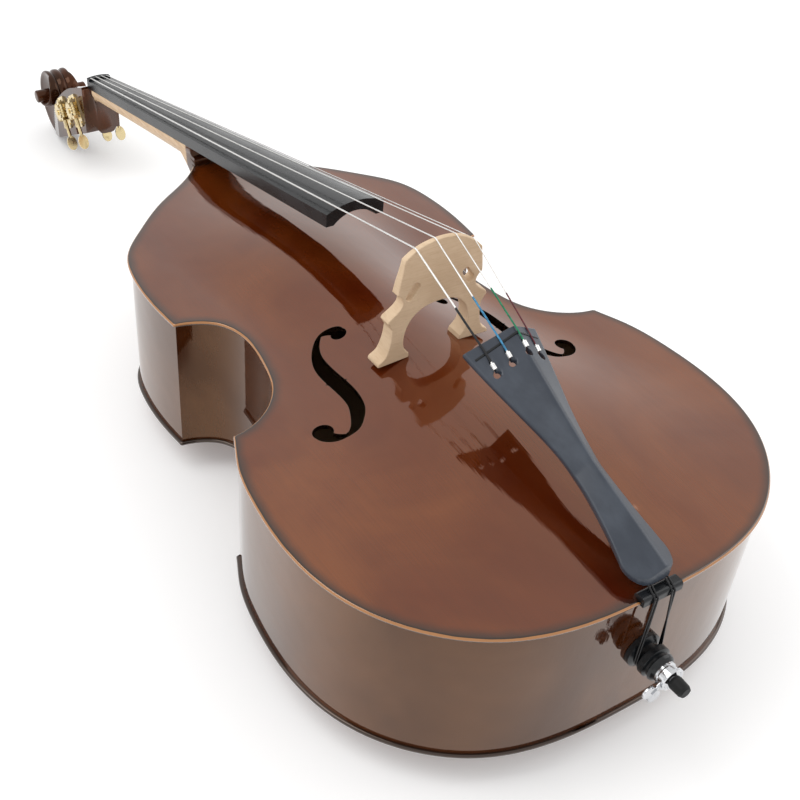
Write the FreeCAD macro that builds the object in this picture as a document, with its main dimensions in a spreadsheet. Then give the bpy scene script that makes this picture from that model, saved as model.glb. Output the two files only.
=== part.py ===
"""Three-quarter double bass, lying on its arched back.

Every shape is drawn in body stations: x across (treble side positive), y from the
lower end of the body towards the scroll, z up from the plane of the back's edge.
place() then moves each piece into the part's frame, whose origin is the lowest point
of the back, below the bridge.  Millimetres.
"""
import FreeCAD, Part
import math
import os
from FreeCAD import Vector, Rotation, Placement

DIMENSIONS = (
    ("body_length", 1090, "body, without the neck"),
    ("lower_half", 336, "half width of the lower bout"),
    ("rib_depth", 221, "edge of the back to edge of the belly"),
    ("plate", 6, "thickness of belly and back"),
    ("overhang", 5, "edge of the plates outside the ribs"),
    ("rib", 3, "rib thickness"),
    ("glue_gap", 0.15, "glue line inside the body"),
    ("lining_wide", 9, "lining width"),
    ("lining_high", 20, "lining height"),
    ("belly_rise", 42, "arching of the belly"),
    ("back_rise", 50, "arching of the back"),
    ("rest_flat", 0.12, "worn off the back's crown, where the bass lies"),
    ("bridge_station", 464.5, "middle of the bridge top, from the lower end"),
    ("back_crown_station", 700, "highest point of the back's arching, which the bass lies on"),
    ("bridge_thick", 26, "thickness of the bridge at its feet"),
    ("bridge_top_thick", 6, "thickness of the bridge under the strings"),
    ("nut_station", 1547, "front of the nut"),
    ("nut_long", 9, "length of the nut"),
    ("board_end_station", 666, "lower end of the fingerboard"),
    ("board_nut_half", 21.5, "half width of the fingerboard at the nut"),
    ("board_end_half", 46, "half width of the fingerboard at its end"),
    ("board_nut_side", 15, "side height of the fingerboard at the nut"),
    ("board_end_side", 19, "side height of the fingerboard at its end"),
    ("board_radius", 104, "camber of the fingerboard"),
    ("glue_nut_z", 146, "top of the neck at the nut"),
    ("glue_slope", 0.2225, "rise of the neck's top towards the bridge"),
    ("cheek_half", 34, "half width of the pegbox"),
    ("cheek_inner", 19, "half width inside the pegbox"),
    ("f_hole_scale", 0.88, "size of the f-holes against their drawn lines"),
    ("chin_half", 18, "half width of the chin under the nut"),
    ("scroll_station", 1763, "centre of the scroll"),
    ("scroll_z", 41, "height of the scroll's centre"),
    ("scroll_half", 21, "half the width of the scroll's outer winding"),
    ("eye_half", 52, "half the distance across the scroll's eyes"),
    ("eye_radius", 12, "radius of the scroll's eye"),
    ("scroll_radius", 83, "radius of the scroll where it leaves the pegbox"),
    ("roller_radius", 7, "string roller"),
    ("roller_clear", 0.08, "running clearance of the roller"),
    ("gear_teeth", 20, "teeth of a tuner gear"),
    ("gear_module", 1.6, "tooth module of a tuner gear"),
    ("worm_radius", 5, "pitch radius of a tuner worm"),
    ("post_radius", 9, "sound post"),
    ("wire_radius", 1.3, "tail wire"),
    ("saddle_rise", 6, "top of the saddle above the belly's edge"),
    ("tail_thick", 6.5, "edge of the tailpiece"),
    ("ridge_share", 0.2, "tailpiece ridge's offset as a share of the half width"),
    ("pin_z", 120, "height of the endpin"),
    ("rod_radius", 5, "endpin rod"),
    ("rod_clear", 0.06, "running clearance of the endpin rod"),
    ("rod_long", 290, "endpin rod"),
)

doc = FreeCAD.newDocument("double_bass")
sheet = doc.addObject("Spreadsheet::Sheet", "dimensions")
for row, (alias, value, note) in enumerate(DIMENSIONS, start=1):
    sheet.set("A%d" % row, alias.replace("_", " "))
    sheet.set("B%d" % row, str(value))
    sheet.set("C%d" % row, note)
    sheet.setAlias("B%d" % row, alias)
doc.recompute()


def size(alias):
    return float(getattr(sheet, alias))


LENGTH = size("body_length")
DEPTH = size("rib_depth")
PLATE = size("plate")
BRIDGE_Y = size("bridge_station")
CROWN_Y = size("back_crown_station")
FRAME_SHIFT = Vector(0, -CROWN_Y, size("back_rise"))
nodes = []


def place(item):
    item.Placement = Placement(FRAME_SHIFT.add(item.Placement.Base), item.Placement.Rotation)
    nodes.append(item)
    return item


def feature(label, shape):
    item = doc.addObject("Part::Feature", label)
    item.Label = label
    item.Shape = shape
    return place(item)


def primitive(kind, label, base=Vector(), rotation=Rotation(), **bindings):
    item = doc.addObject(kind, label)
    item.Label = label
    for name, expression in bindings.items():
        item.setExpression(name, expression)
    item.Placement = Placement(base, rotation)
    return item


def boolean(kind, label, base, tool):
    item = doc.addObject(kind, label)
    item.Label = label
    item.Base = base
    item.Tool = tool
    return item


def polygon(points):
    return Part.makePolygon([Vector(*p) for p in points] + [Vector(*points[0])])


def spline(points, **options):
    curve = Part.BSplineCurve()
    curve.interpolate([Vector(*p) for p in points], **options)
    return curve


def prism(wire, vector):
    return Part.Face(wire).extrude(Vector(*vector))


def box(low, high):
    sides = [b - a for a, b in zip(low, high)]
    return Part.makeBox(sides[0], sides[1], sides[2], Vector(*low))


def rod(start, end, radius):
    start, end = Vector(*start), Vector(*end)
    return Part.makeCylinder(radius, start.distanceToPoint(end), start, end - start)


def bent_tube(points, radius, bends):
    """Round tube along straight runs, with one bend radius for each inner point."""
    points = [Vector(*p) for p in points]
    edges = []
    start = points[0]
    for before, corner, after, bend in zip(points, points[1:], points[2:], bends):
        inwards = (before - corner).normalize()
        outwards = (after - corner).normalize()
        half_turn = (math.pi - inwards.getAngle(outwards)) / 2
        reach = bend * math.tan(half_turn)
        middle = corner + (inwards + outwards).normalize() * (bend / math.cos(half_turn) - bend)
        first, last = corner + inwards * reach, corner + outwards * reach
        if start.distanceToPoint(first) > 1e-3:
            edges.append(Part.makeLine(start, first))
        edges.append(Part.Arc(first, middle, last).toShape())
        start = last
    if start.distanceToPoint(points[-1]) > 1e-3:
        edges.append(Part.makeLine(start, points[-1]))
    path = Part.Wire(edges)
    section = Part.Wire(Part.makeCircle(radius, points[0], points[1] - points[0]))
    return path.makePipeShell([section], True, False)


def mirrored(shape):
    return shape.mirror(Vector(), Vector(1, 0, 0))


def fused(shapes):
    return shapes[0].multiFuse(shapes[1:]).removeSplitter()


# ------------------------------------------------------------------ body outline
NECK_HALF = 36
UPPER = ((NECK_HALF, LENGTH), (68, 1057), (134, 1009), (197, 950), (240, 897),
         (256, 840), (260, 770), (256, 713))
WAIST = ((256, 713), (228, 706), (201, 688), (184, 645), (188, 590), (206, 530),
         (240, 492), (294, 471))
LOWER = ((294, 471), (314, 425), (331, 350), (336, 264), (319, 171), (272, 92),
         (201, 35), (120, 8), (0, 0))
PIECES = (UPPER, WAIST, LOWER)


def inset_curve(points, distance):
    """The half outline's curve moved inwards, as points, with the body to its right."""
    flat = [(x, y, 0) for x, y in points]
    if points is LOWER:
        curve = spline(flat, Tangents=[Vector(0.4, -1, 0), Vector(-1, 0, 0)])
    else:
        curve = spline(flat)
    if not distance:
        return curve
    first, last = curve.FirstParameter, curve.LastParameter
    steps = 24
    moved = []
    for step in range(steps + 1):
        at = first + (last - first) * step / steps
        along = curve.tangent(at)[0]
        inwards = Vector(along.y, -along.x, 0).normalize()
        moved.append(curve.value(at) + inwards * distance)
    return spline([tuple(p) for p in moved])


def trimmed_half(distance):
    """The three inset curves of one side, cut where they cross."""
    curves = [inset_curve(points, distance) for points in PIECES]
    if not distance:
        return [c.toShape() for c in curves]
    spans = [[c.FirstParameter, c.LastParameter] for c in curves]
    for before, after in ((0, 1), (1, 2)):
        hits = curves[before].intersectCC(curves[after])
        corner = max(hits, key=lambda p: p.X if hasattr(p, "X") else p[0])
        corner = Vector(corner.X, corner.Y, corner.Z)
        spans[before][1] = curves[before].parameter(corner)
        spans[after][0] = curves[after].parameter(corner)
    return [c.toShape(*s) for c, s in zip(curves, spans)]


def closed_outline(distance):
    half = trimmed_half(distance)
    right = Part.Wire(half)
    start, end = half[0].valueAt(half[0].FirstParameter), half[2].valueAt(half[2].LastParameter)
    top = Vector(0, start.y, 0)
    bottom = Vector(0, end.y, 0)
    edges = [Part.makeLine(top, start)] + list(right.Edges)
    if abs(end.x) > 1e-6:
        edges.append(Part.makeLine(end, bottom))
    side = Part.Wire(edges)
    return Part.Wire(Part.__sortEdges__(side.Edges + mirrored(side).Edges))


def rib_strip(index, near, far, low, high):
    """A bent strip of one side between two insets, as a solid."""
    outer = trimmed_half(near)[index]
    inner = trimmed_half(far)[index]
    ends = [(c.valueAt(c.FirstParameter), c.valueAt(c.LastParameter)) for c in (outer, inner)]
    links = [Part.makeLine(ends[0][n], ends[1][n]) for n in (0, 1)]
    wire = Part.Wire(Part.__sortEdges__([outer, inner] + links))
    strip = prism(wire, (0, 0, high - low))
    strip.translate(Vector(0, 0, low))
    return strip


# ------------------------------------------------------------------ arching
def arch_half_width(y):
    """Half width of the bulge at a station: wide in the bouts, narrow in the waist."""
    taper = 362 - 0.153 * y
    waist = 95 * math.exp(-((y - 600) / 228) ** 2)
    ends = 150 * math.exp((y - LENGTH) / 90) + 150 * math.exp(-y / 60)
    return max(taper - waist - ends, 20)


def bulge(x, y, middle, cross_power):
    """Height of the arching as a share of its rise, level with the edge all round."""
    across = min(abs(x) / arch_half_width(y), 1)
    half = LENGTH - 10 - middle if y > middle else middle - 10
    along = min(abs(y - middle) / half, 1)
    flat = 1 - math.sin(math.pi / 2 * along) ** 4
    return flat * (1 - math.sin(math.pi / 2 * across) ** cross_power)


def belly_top(x, y):
    return DEPTH + size("belly_rise") * bulge(x, y, 545, 2)


def back_bottom(x, y):
    """Underside of the back, a little proud of the small flat that it lies on."""
    return -(size("back_rise") + size("rest_flat")) * bulge(x, y, CROWN_Y, 4)


def arched_solid(height, thickness):
    """The space of a plate before it is sawn to its outline."""
    columns, rows = 31, 43
    half, start, end = 345.0, -12.0, 1130.0
    grid = []
    for column in range(columns):
        x = half * (2 * column / (columns - 1) - 1)
        line = []
        for row in range(rows):
            y = start + (end - start) * row / (rows - 1)
            line.append(Vector(x, y, height(x, y)))
        grid.append(line)
    surface = Part.BSplineSurface()
    surface.interpolate(grid)
    return surface.toShape().extrude(Vector(0, 0, thickness))


def f_hole(side):
    """Bass-side f-hole (side 1) or treble-side f-hole (side -1), cut right down."""
    outside = ((-67, 578), (-69, 588), (-82, 596), (-99, 596), (-118, 582), (-134, 559),
               (-143, 535), (-146, 503), (-146, 453), (-149, 430), (-158, 409),
               (-168, 393), (-179, 384))
    lower_wing = ((-179, 384), (-190, 393), (-194, 400))
    inside = ((-219, 404), (-212, 390), (-197, 380), (-179, 378), (-161, 381),
              (-146, 393), (-133, 410), (-126, 430), (-122.5, 453), (-122.5, 503),
              (-122, 535), (-119, 556), (-112, 573), (-99, 590))
    upper_wing = ((-99, 590), (-92, 586), (-86, 579))
    edges = [spline([(x, y, 0) for x, y in run]).toShape()
             for run in (outside, lower_wing, inside, upper_wing)]
    edges.append(Part.makeLine(Vector(-194, 400, 0), Vector(-219, 404, 0)))
    edges.append(Part.makeLine(Vector(-86, 579, 0), Vector(-67, 578, 0)))
    stem = Part.Face(Part.Wire(Part.__sortEdges__(edges)))
    eyes = [Part.Face(Part.Wire(Part.makeCircle(radius, Vector(x, y, 0))))
            for x, y, radius in ((-77.5, 575, 12), (-204, 409, 15.5))]
    notch = Part.Face(polygon(((-149, 494, 0), (-120, 483, 0), (-120, 481, 0), (-149, 492, 0))))
    cutter = fused([f.extrude(Vector(0, 0, 500)) for f in [stem, notch] + eyes])
    cutter.scale(size("f_hole_scale"), Vector(-134, 489, 0))
    return cutter if side == 1 else mirrored(cutter)


def make_plates():
    saddle_notch = box((-30, -5, DEPTH - PLATE - 1), (30, 13, DEPTH + 40))
    belly = arched_solid(belly_top, -PLATE)
    outline = prism(closed_outline(0), (0, 0, 500))
    belly = belly.common(outline)
    belly = belly.cut(f_hole(1)).cut(f_hole(-1)).cut(saddle_notch)
    feature("belly", belly)
    back = arched_solid(back_bottom, PLATE)
    back = back.cut(box((-200, 300, -size("back_rise") - 20), (200, 1000, -size("back_rise"))))
    outline.translate(Vector(0, 0, -200))
    button = Part.makeCylinder(24, PLATE, Vector(0, LENGTH, 0))
    button = button.common(box((-30, LENGTH, -1), (30, LENGTH + 30, PLATE + 1)))
    feature("back", fused([back.common(outline), button]))


# ------------------------------------------------------------------ ribs, blocks, linings
RIB_NEAR = size("overhang")
RIB_FAR = RIB_NEAR + size("rib")
INNER = RIB_FAR + size("glue_gap")
RIB_LOW, RIB_HIGH = PLATE + 0.2, DEPTH - PLATE - 0.2
SIDES = (("bass_side", True), ("treble_side", False))


def block_shape(near):
    """The part of the air inside the ribs that lies in a given space."""
    inside = prism(closed_outline(INNER), (0, 0, RIB_HIGH - RIB_LOW - 0.4))
    inside.translate(Vector(0, 0, RIB_LOW + 0.2))
    return inside.common(near)


def make_ribs_and_blocks():
    pin = rod((0, -20, size("pin_z")), (0, 90, size("pin_z")), 14.1)
    for index, bout in enumerate(("upper", "middle", "lower")):
        strip = rib_strip(index, RIB_NEAR, RIB_FAR, RIB_LOW, RIB_HIGH).cut(pin)
        for side, mirror in SIDES:
            feature("%s_rib_%s" % (bout, side), mirrored(strip) if mirror else strip)
    blocks = {
        "neck_block": box((-NECK_HALF - 34, LENGTH - 75, 0), (NECK_HALF + 34, LENGTH, 300)),
        "end_block": box((-60, -20, 0), (60, 52, 300)),
    }
    for end, (x, y) in (("upper", UPPER[-1]), ("lower", LOWER[0])):
        near = Part.makeCylinder(58, 300, Vector(x, y, 0))
        for side, mirror in SIDES:
            blocks["%s_corner_block_%s" % (end, side)] = mirrored(near) if mirror else near
    solid = {}
    for label, near in blocks.items():
        solid[label] = block_shape(near).cut(pin)
        feature(label, solid[label])
    taken = Part.makeCompound(list(solid.values()))
    for label, low in (("belly_linings", RIB_HIGH - size("lining_high") - 0.2),
                       ("back_linings", RIB_LOW + 0.2)):
        strips = []
        for index in range(3):
            strip = rib_strip(index, INNER, INNER + size("lining_wide"), low,
                              low + size("lining_high"))
            strips += [strip, mirrored(strip)]
        strips = Part.makeCompound(strips).cut(taken)
        strips = [s for s in strips.Solids if s.Volume > 2000]
        feature(label, Part.makeCompound(strips))


def make_bass_bar_and_post():
    bar = box((-50, 190, DEPTH - 30), (-34, 915, DEPTH + 45))
    under = arched_solid(lambda x, y: belly_top(x, y) - PLATE - 0.2, -34)
    feature("bass_bar", bar.common(under))
    x, y, radius = 58, BRIDGE_Y - 30, size("post_radius")
    ring = [(x + radius * math.cos(a), y + radius * math.sin(a)) for a in
            [math.radians(30 * n) for n in range(12)]]
    low = max(back_bottom(*p) for p in ring) + PLATE + 0.3
    high = min(belly_top(*p) for p in ring) - PLATE - 0.3
    post = primitive("Part::Cylinder", "sound_post", Vector(x, y, low), Radius="dimensions.post_radius")
    post.Height = high - low
    place(post)


# ------------------------------------------------------------------ neck, pegbox, scroll
FLUTE_X = 9
WINDINGS = ((1.35, 0.22), (1.7, 0.45), (2.05, 0.65))
NUT_Y = size("nut_station")
BOARD_Y = size("board_end_station")


def glue_z(y):
    return size("glue_nut_z") + size("glue_slope") * (NUT_Y - y)


def board_half(y):
    share = (NUT_Y - y) / (NUT_Y - BOARD_Y)
    return size("board_nut_half") + share * (size("board_end_half") - size("board_nut_half"))


def board_side(y):
    share = (NUT_Y - y) / (NUT_Y - BOARD_Y)
    return size("board_nut_side") + share * (size("board_end_side") - size("board_nut_side"))


def neck_section(y, thick):
    half = board_half(y)
    top = glue_z(y)
    curve = spline(((half, y, top), (half * 0.93, y, top - thick * 0.5), (half * 0.55, y, top - thick * 0.9),
                    (0, y, top - thick), (-half * 0.55, y, top - thick * 0.9),
                    (-half * 0.93, y, top - thick * 0.5), (-half, y, top)))
    edges = [curve.toShape(), Part.makeLine(Vector(-half, y, top), Vector(half, y, top))]
    return Part.Wire(edges)


def heel_section(z, half, front):
    back = LENGTH + 0.1
    round_depth = min(half, front - back - 2)
    side = front - round_depth
    curve = [(half * math.cos(math.radians(a)), side + round_depth * math.sin(math.radians(a)), z)
             for a in range(0, 181, 30)]
    edges = [spline(curve).toShape(),
             Part.makeLine(Vector(-half, side, z), Vector(-half, back, z)),
             Part.makeLine(Vector(-half, back, z), Vector(half, back, z)),
             Part.makeLine(Vector(half, back, z), Vector(half, side, z))]
    return Part.Wire(Part.__sortEdges__(edges))


def scroll_point(angle, radius):
    return Vector(0, size("scroll_station") + radius * math.cos(angle),
                  size("scroll_z") + radius * math.sin(angle))


def spiral_radius(turned):
    """Radius of the scroll after turning by an angle from the back of the pegbox."""
    return size("scroll_radius") * math.exp(-0.235 * turned)


def winding_disc(turned):
    """Centre and radius of the round that follows one winding of the scroll through its two sides."""
    near, far = spiral_radius(turned), spiral_radius(turned + math.pi)
    return scroll_point(turned - math.pi / 2, (near - far) / 2), (near + far) / 2


def winding(half_width, turned):
    centre, radius = winding_disc(turned)
    return Part.makeCylinder(radius, 2 * half_width, Vector(-half_width, centre.y, centre.z), Vector(1, 0, 0))


def fluted_winding(half_width, turned):
    """A winding with two flutes along its outer wall."""
    disc = winding(half_width, turned)
    centre, radius = winding_disc(turned)
    for x in (-FLUTE_X, FLUTE_X):
        disc = disc.cut(Part.makeTorus(radius + 3, 7, Vector(x, centre.y, centre.z), Vector(1, 0, 0)))
    return disc


def make_scroll():
    half = size("scroll_half")
    outer = fluted_winding(half, 0)
    centre = winding_disc(0)[0]
    outer = outer.common(box((-half, centre.y - 4, centre.z - 90), (half, centre.y + 90, centre.z + 90)))
    rounds = [fluted_winding(half, math.pi)]
    for turned, wide in WINDINGS:
        rounds.append(winding(half + (size("eye_half") - half) * wide, turned * math.pi))
    eye = scroll_point(0, 0)
    rounds.append(Part.makeCylinder(size("eye_radius"), 2 * size("eye_half"),
                                    Vector(-size("eye_half"), eye.y, eye.z), Vector(1, 0, 0)))
    return outer.multiFuse(rounds)


def make_neck():
    sections = [neck_section(NUT_Y + 6, 24), neck_section(1400, 26), neck_section(1240, 29),
                neck_section(LENGTH + 10, 34)]
    shaft = Part.makeLoft(sections, True, False)
    heel = Part.makeLoft([heel_section(z, half, front) for z, half, front in
                          ((PLATE + 0.1, 20, 1112), (60, 21, 1109), (120, 24, 1112),
                           (170, 28, 1122), (200, 31, 1142), (218, 32.5, 1168), (232, 33, 1200))],
                         True, False)
    above = prism(polygon(((0, LENGTH - 20, glue_z(LENGTH - 20)), (0, 1300, glue_z(1300)),
                           (0, 1300, 500), (0, LENGTH - 20, 500))), (160, 0, 0))
    above.translate(Vector(-80, 0, 0))
    heel = heel.cut(above)

    cheek = size("cheek_half")
    top_edge = ((NUT_Y + 5, 150), (1600, 128), (1655, 96), (1701, 56), (1735, 22), (1759, 3))
    back_edge = ((1779, -38), (1763, -42), (1735, -36), (1700, -21), (1650, 6), (1600, 33),
                 (NUT_Y + 5, 58))
    side_view = Part.Wire(
        [spline([(0, y, z) for y, z in top_edge[1:]]).toShape(),
         Part.makeLine(Vector(0, *top_edge[0]), Vector(0, *top_edge[1])),
         Part.makeLine(Vector(0, *top_edge[-1]), Vector(0, *back_edge[0])),
         spline([(0, y, z) for y, z in back_edge]).toShape(),
         Part.makeLine(Vector(0, *back_edge[-1]), Vector(0, *top_edge[0]))])
    pegbox = Part.Face(side_view).extrude(Vector(2 * cheek, 0, 0))
    pegbox.translate(Vector(-cheek, 0, 0))
    scroll_half = size("scroll_half")
    wedge = prism(polygon(((cheek, 1706, -100), (scroll_half, 1765, -100), (scroll_half, 1900, -100),
                           (60, 1900, -100), (60, 1706, -100))), (0, 0, 400))
    pegbox = pegbox.cut(wedge).cut(mirrored(wedge))
    inner = size("cheek_inner")
    nut_back = NUT_Y + size("nut_long") + 0.1
    cavity = prism(polygon(((-inner, nut_back + 2, 300), (-inner, nut_back + 2, 138),
                            (-inner, 1567, 80), (-inner, 1600, 62),
                            (-inner, 1650, 36), (-inner, 1700, 9), (-inner, 1722, 12),
                            (-inner, 1712, 60), (-inner, 1740, 300))), (2 * inner, 0, 0))
    seat = prism(polygon(((-60, 1300, glue_z(1300)), (-60, nut_back, glue_z(nut_back)),
                          (-60, nut_back, 300), (-60, 1300, 500))), (120, 0, 0))
    chin_half = size("chin_half")
    chin = box((-chin_half, NUT_Y - 17, 62), (chin_half, NUT_Y + 9, glue_z(NUT_Y) - 8))
    chin = chin.makeFillet(12, [e for e in chin.Edges if abs(e.CenterOfMass.z - 62) < 1
                                and abs(e.CenterOfMass.y - NUT_Y + 17) > 1 and abs(e.CenterOfMass.x) > chin_half - 4])
    neck = shaft.multiFuse([heel, pegbox, chin, make_scroll()]).cut(cavity).cut(seat)
    for tuner in TUNERS:
        hole = rod((-60, tuner["y"], tuner["z"]), (60, tuner["y"], tuner["z"]),
                   size("roller_radius") + size("roller_clear"))
        neck = neck.cut(hole)
    feature("neck", neck.Solids[0] if len(neck.Solids) == 1 else neck)


def board_section(y):
    half = board_half(y)
    low = glue_z(y)
    side = low + board_side(y)
    camber = size("board_radius") - math.sqrt(size("board_radius") ** 2 - half ** 2)
    corners = [Vector(-half, y, low), Vector(half, y, low), Vector(half, y, side)]
    arc = Part.Arc(Vector(half, y, side), Vector(0, y, side + camber), Vector(-half, y, side)).toShape()
    return Part.Wire([Part.makeLine(corners[0], corners[1]), Part.makeLine(corners[1], corners[2]),
                      arc, Part.makeLine(Vector(-half, y, side), corners[0])])


def board_top(y):
    half = board_half(y)
    camber = size("board_radius") - math.sqrt(size("board_radius") ** 2 - half ** 2)
    return glue_z(y) + board_side(y) + camber


def make_fingerboard():
    board = Part.makeLoft([board_section(BOARD_Y), board_section(NUT_Y)], True, True)
    start, end = LENGTH - 30, BOARD_Y - 10
    scoops = []
    for y, half, deep in ((end, board_half(end) - 11, 15), (start, board_half(start) - 11, 1)):
        low = glue_z(y)
        arc = Part.Arc(Vector(half, y, low - 1), Vector(0, y, low + deep), Vector(-half, y, low - 1))
        scoops.append(Part.Wire([arc.toShape(), Part.makeLine(Vector(-half, y, low - 1),
                                                              Vector(half, y, low - 1))]))
    hollow = Part.makeLoft(scoops, True, True)
    feature("fingerboard", board.cut(hollow))


# ------------------------------------------------------------------ tuners
SHAFT_TILT = math.radians(33)
DOWN = Vector(0, -math.sin(SHAFT_TILT), -math.cos(SHAFT_TILT))
ALONG = Vector(0, -math.cos(SHAFT_TILT), math.sin(SHAFT_TILT))
TUNERS = (
    {"string": "e", "side": -1, "y": 1600.0, "z": 84.0},
    {"string": "g", "side": 1, "y": 1627.0, "z": 70.0},
    {"string": "a", "side": -1, "y": 1662.0, "z": 52.0},
    {"string": "d", "side": 1, "y": 1697.0, "z": 34.0},
)
PITCH = math.pi * size("gear_module")
GEAR_RADIUS = size("gear_teeth") * size("gear_module") / 2
WORM_OFFSET = GEAR_RADIUS + size("worm_radius")
PLATE_THICK = 2.4
GEAR_FROM, GEAR_TO = 6.0, 13.0


def tuner_point(tuner, out, along, down):
    """A point of a tuner: distance out of the cheek, towards the nut, towards the key."""
    centre = Vector(tuner["side"] * (size("cheek_half") + out), tuner["y"], tuner["z"])
    return centre + ALONG * along + DOWN * down


def tuner_prism(tuner, out_low, out_high, outline):
    wire = Part.makePolygon([tuner_point(tuner, out_low, a, d) for a, d in outline + outline[:1]])
    return Part.Face(wire).extrude(Vector(tuner["side"] * (out_high - out_low), 0, 0))


def tuner_rod(tuner, out_low, out_high, along, down, radius):
    return rod(tuple(tuner_point(tuner, out_low, along, down)),
               tuple(tuner_point(tuner, out_high, along, down)), radius)


def make_plate(tuner):
    low, high, left, right, cut = -27, 34, -19, 28, 9
    outline = [(left + cut, low), (right - cut, low), (right, low + cut), (right, high - cut),
               (right - cut, high), (left + cut, high), (left, high - cut), (left, low + cut)]
    plate = tuner_prism(tuner, 0.05, PLATE_THICK, outline)
    middle = (GEAR_FROM + GEAR_TO) / 2
    for low, high in ((-17.5, -12.2), (12.2, 17.5)):
        ear = tuner_prism(tuner, PLATE_THICK, middle + 5.5,
                          [(WORM_OFFSET - 5.5, low), (WORM_OFFSET + 5.5, low),
                           (WORM_OFFSET + 5.5, high), (WORM_OFFSET - 5.5, high)])
        plate = plate.fuse(ear)
    shaft = rod(tuple(tuner_point(tuner, middle, WORM_OFFSET, -40)),
                tuple(tuner_point(tuner, middle, WORM_OFFSET, 40)), 2.88)
    plate = plate.cut(shaft).cut(tuner_rod(tuner, -1, 4, 0, 0, size("roller_radius") + size("roller_clear")))
    for along, down in SCREW_PLACES:
        plate = plate.cut(tuner_rod(tuner, -1, 4, along, down, 1.6))
    feature("tuner_plate_" + tuner["string"], plate)


SCREW_PLACES = ((-12, -21.5), (21, -21.5), (-12, 28), (21, 28))


def make_screws(tuner):
    screws = []
    for along, down in SCREW_PLACES:
        head = tuner_rod(tuner, PLATE_THICK, PLATE_THICK + 1.6, along, down, 3.4)
        shank = tuner_rod(tuner, 0.1, PLATE_THICK, along, down, 1.6)
        screws.append(head.fuse(shank).removeSplitter())
    feature("tuner_screws_" + tuner["string"], Part.makeCompound(screws))


def make_gear_and_roller(tuner):
    teeth = int(size("gear_teeth"))
    module = size("gear_module")
    tip, root = GEAR_RADIUS + 0.85 * module, GEAR_RADIUS - 1.15 * module
    step = 2 * math.pi / teeth
    outline = []
    for tooth in range(teeth):
        middle = tooth * step
        for radius, half in ((root, 0.29), (tip, 0.12), (tip, -0.12), (root, -0.29)):
            angle = middle - half * step
            outline.append((radius * math.cos(angle), radius * math.sin(angle)))
    gear = tuner_prism(tuner, GEAR_FROM, GEAR_TO, outline)
    gear = gear.cut(tuner_rod(tuner, 0, 20, 0, 0, size("roller_radius") - 1))
    feature("tuner_gear_" + tuner["string"], gear)
    barrel = tuner_rod(tuner, -2 * size("cheek_half") + 1, GEAR_FROM, 0, 0, size("roller_radius"))
    spigot = tuner_rod(tuner, GEAR_FROM, GEAR_TO, 0, 0, size("roller_radius") - 1)
    cap = tuner_rod(tuner, GEAR_TO, GEAR_TO + 2, 0, 0, 5)
    feature("string_roller_" + tuner["string"], fused([barrel, spigot, cap]))


def make_worm(tuner):
    """Worm, shaft and butterfly key in one; the thread is right-handed about the shaft."""
    middle = (GEAR_FROM + GEAR_TO) / 2
    core = size("worm_radius") - 1.7
    outer = size("worm_radius") + 1.4
    length = 20.0
    base = tuner_point(tuner, middle, WORM_OFFSET, 0)
    helix = Part.makeLongHelix(PITCH, length - 2 * 1.2, core)
    half_low, half_high = 0.27 * PITCH, 0.12 * PITCH
    profile = polygon(((core - 0.6, 0, -half_low), (outer, 0, -half_high),
                       (outer, 0, half_high), (core - 0.6, 0, half_low)))
    thread = Part.Wire(helix.Edges).makePipeShell([profile], True, True)
    thread.translate(Vector(0, 0, -length / 2 + 1.2))
    thread.rotate(Vector(), Vector(0, 0, 1), 180)
    spindle = [Part.makeCylinder(core, length + 2, Vector(0, 0, -length / 2 - 1)),
               Part.makeCylinder(2.8, 30 + 18.5, Vector(0, 0, -18.5)),
               Part.makeCone(3.8, 3, 22, Vector(0, 0, 18.2))]
    tail = Part.makeCylinder(4, 2, Vector(0, 0, -20.2))
    turned = fused(spindle + [tail]).fuse(thread)
    oval = Part.Ellipse(Vector(0, -2.3, 75.5), Vector(9.3, -2.3, 62), Vector(0, -2.3, 62)).toShape()
    rim = Part.Face(Part.Wire(oval)).extrude(Vector(0, 4.6, 0))
    waist = Part.makeCylinder(3.4, 14, Vector(0, 0, 38))
    key = turned.fuse(waist).fuse(rim)
    turn = Rotation(Vector(0, 0, 1), DOWN)
    key.Placement = Placement(base, turn)
    feature("tuner_key_" + tuner["string"], key)


def make_tuners():
    for tuner in TUNERS:
        make_plate(tuner)
        make_screws(tuner)
        make_gear_and_roller(tuner)
        make_worm(tuner)


# ------------------------------------------------------------------ strings and their stops
STRINGS = (
    {"name": "e", "radius": 1.2, "nut": -15.5, "bridge": (-43, 422.4), "tail": -34},
    {"name": "a", "radius": 1.0, "nut": -5.2, "bridge": (-15, 430), "tail": -12},
    {"name": "d", "radius": 0.85, "nut": 5.2, "bridge": (16, 428), "tail": 12},
    {"name": "g", "radius": 0.7, "nut": 15.5, "bridge": (47, 412), "tail": 34},
)
TAIL_TOP_Y, TAIL_END_Y = 336, 8
TAIL_TOP_Z, TAIL_END_Z = 352, 237


def tail_edge_z(y):
    return TAIL_END_Z + (TAIL_TOP_Z - TAIL_END_Z) * (y - TAIL_END_Y) / (TAIL_TOP_Y - TAIL_END_Y)


def tail_ridge(y):
    return 16 + 12 * max(0, (y - 150) / 186)


TAIL_WIDTHS = ((336, 55), (296, 47), (257, 38), (223, 30), (165, 20.5), (115, 21.5), (75, 26.5),
               (45, 32))
TAIL_HALVES = ((6, 34), (60, 31), (150, 21), (223, 31), (338, 56))
RIDGE_SHARE = size("ridge_share")


def tail_half(y):
    """Half width of the tailpiece's roof at a station."""
    for (low, narrow), (high, wide) in zip(TAIL_HALVES, TAIL_HALVES[1:]):
        if y <= high:
            return narrow + (wide - narrow) * (y - low) / (high - low)
    return TAIL_HALVES[-1][1]


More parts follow.
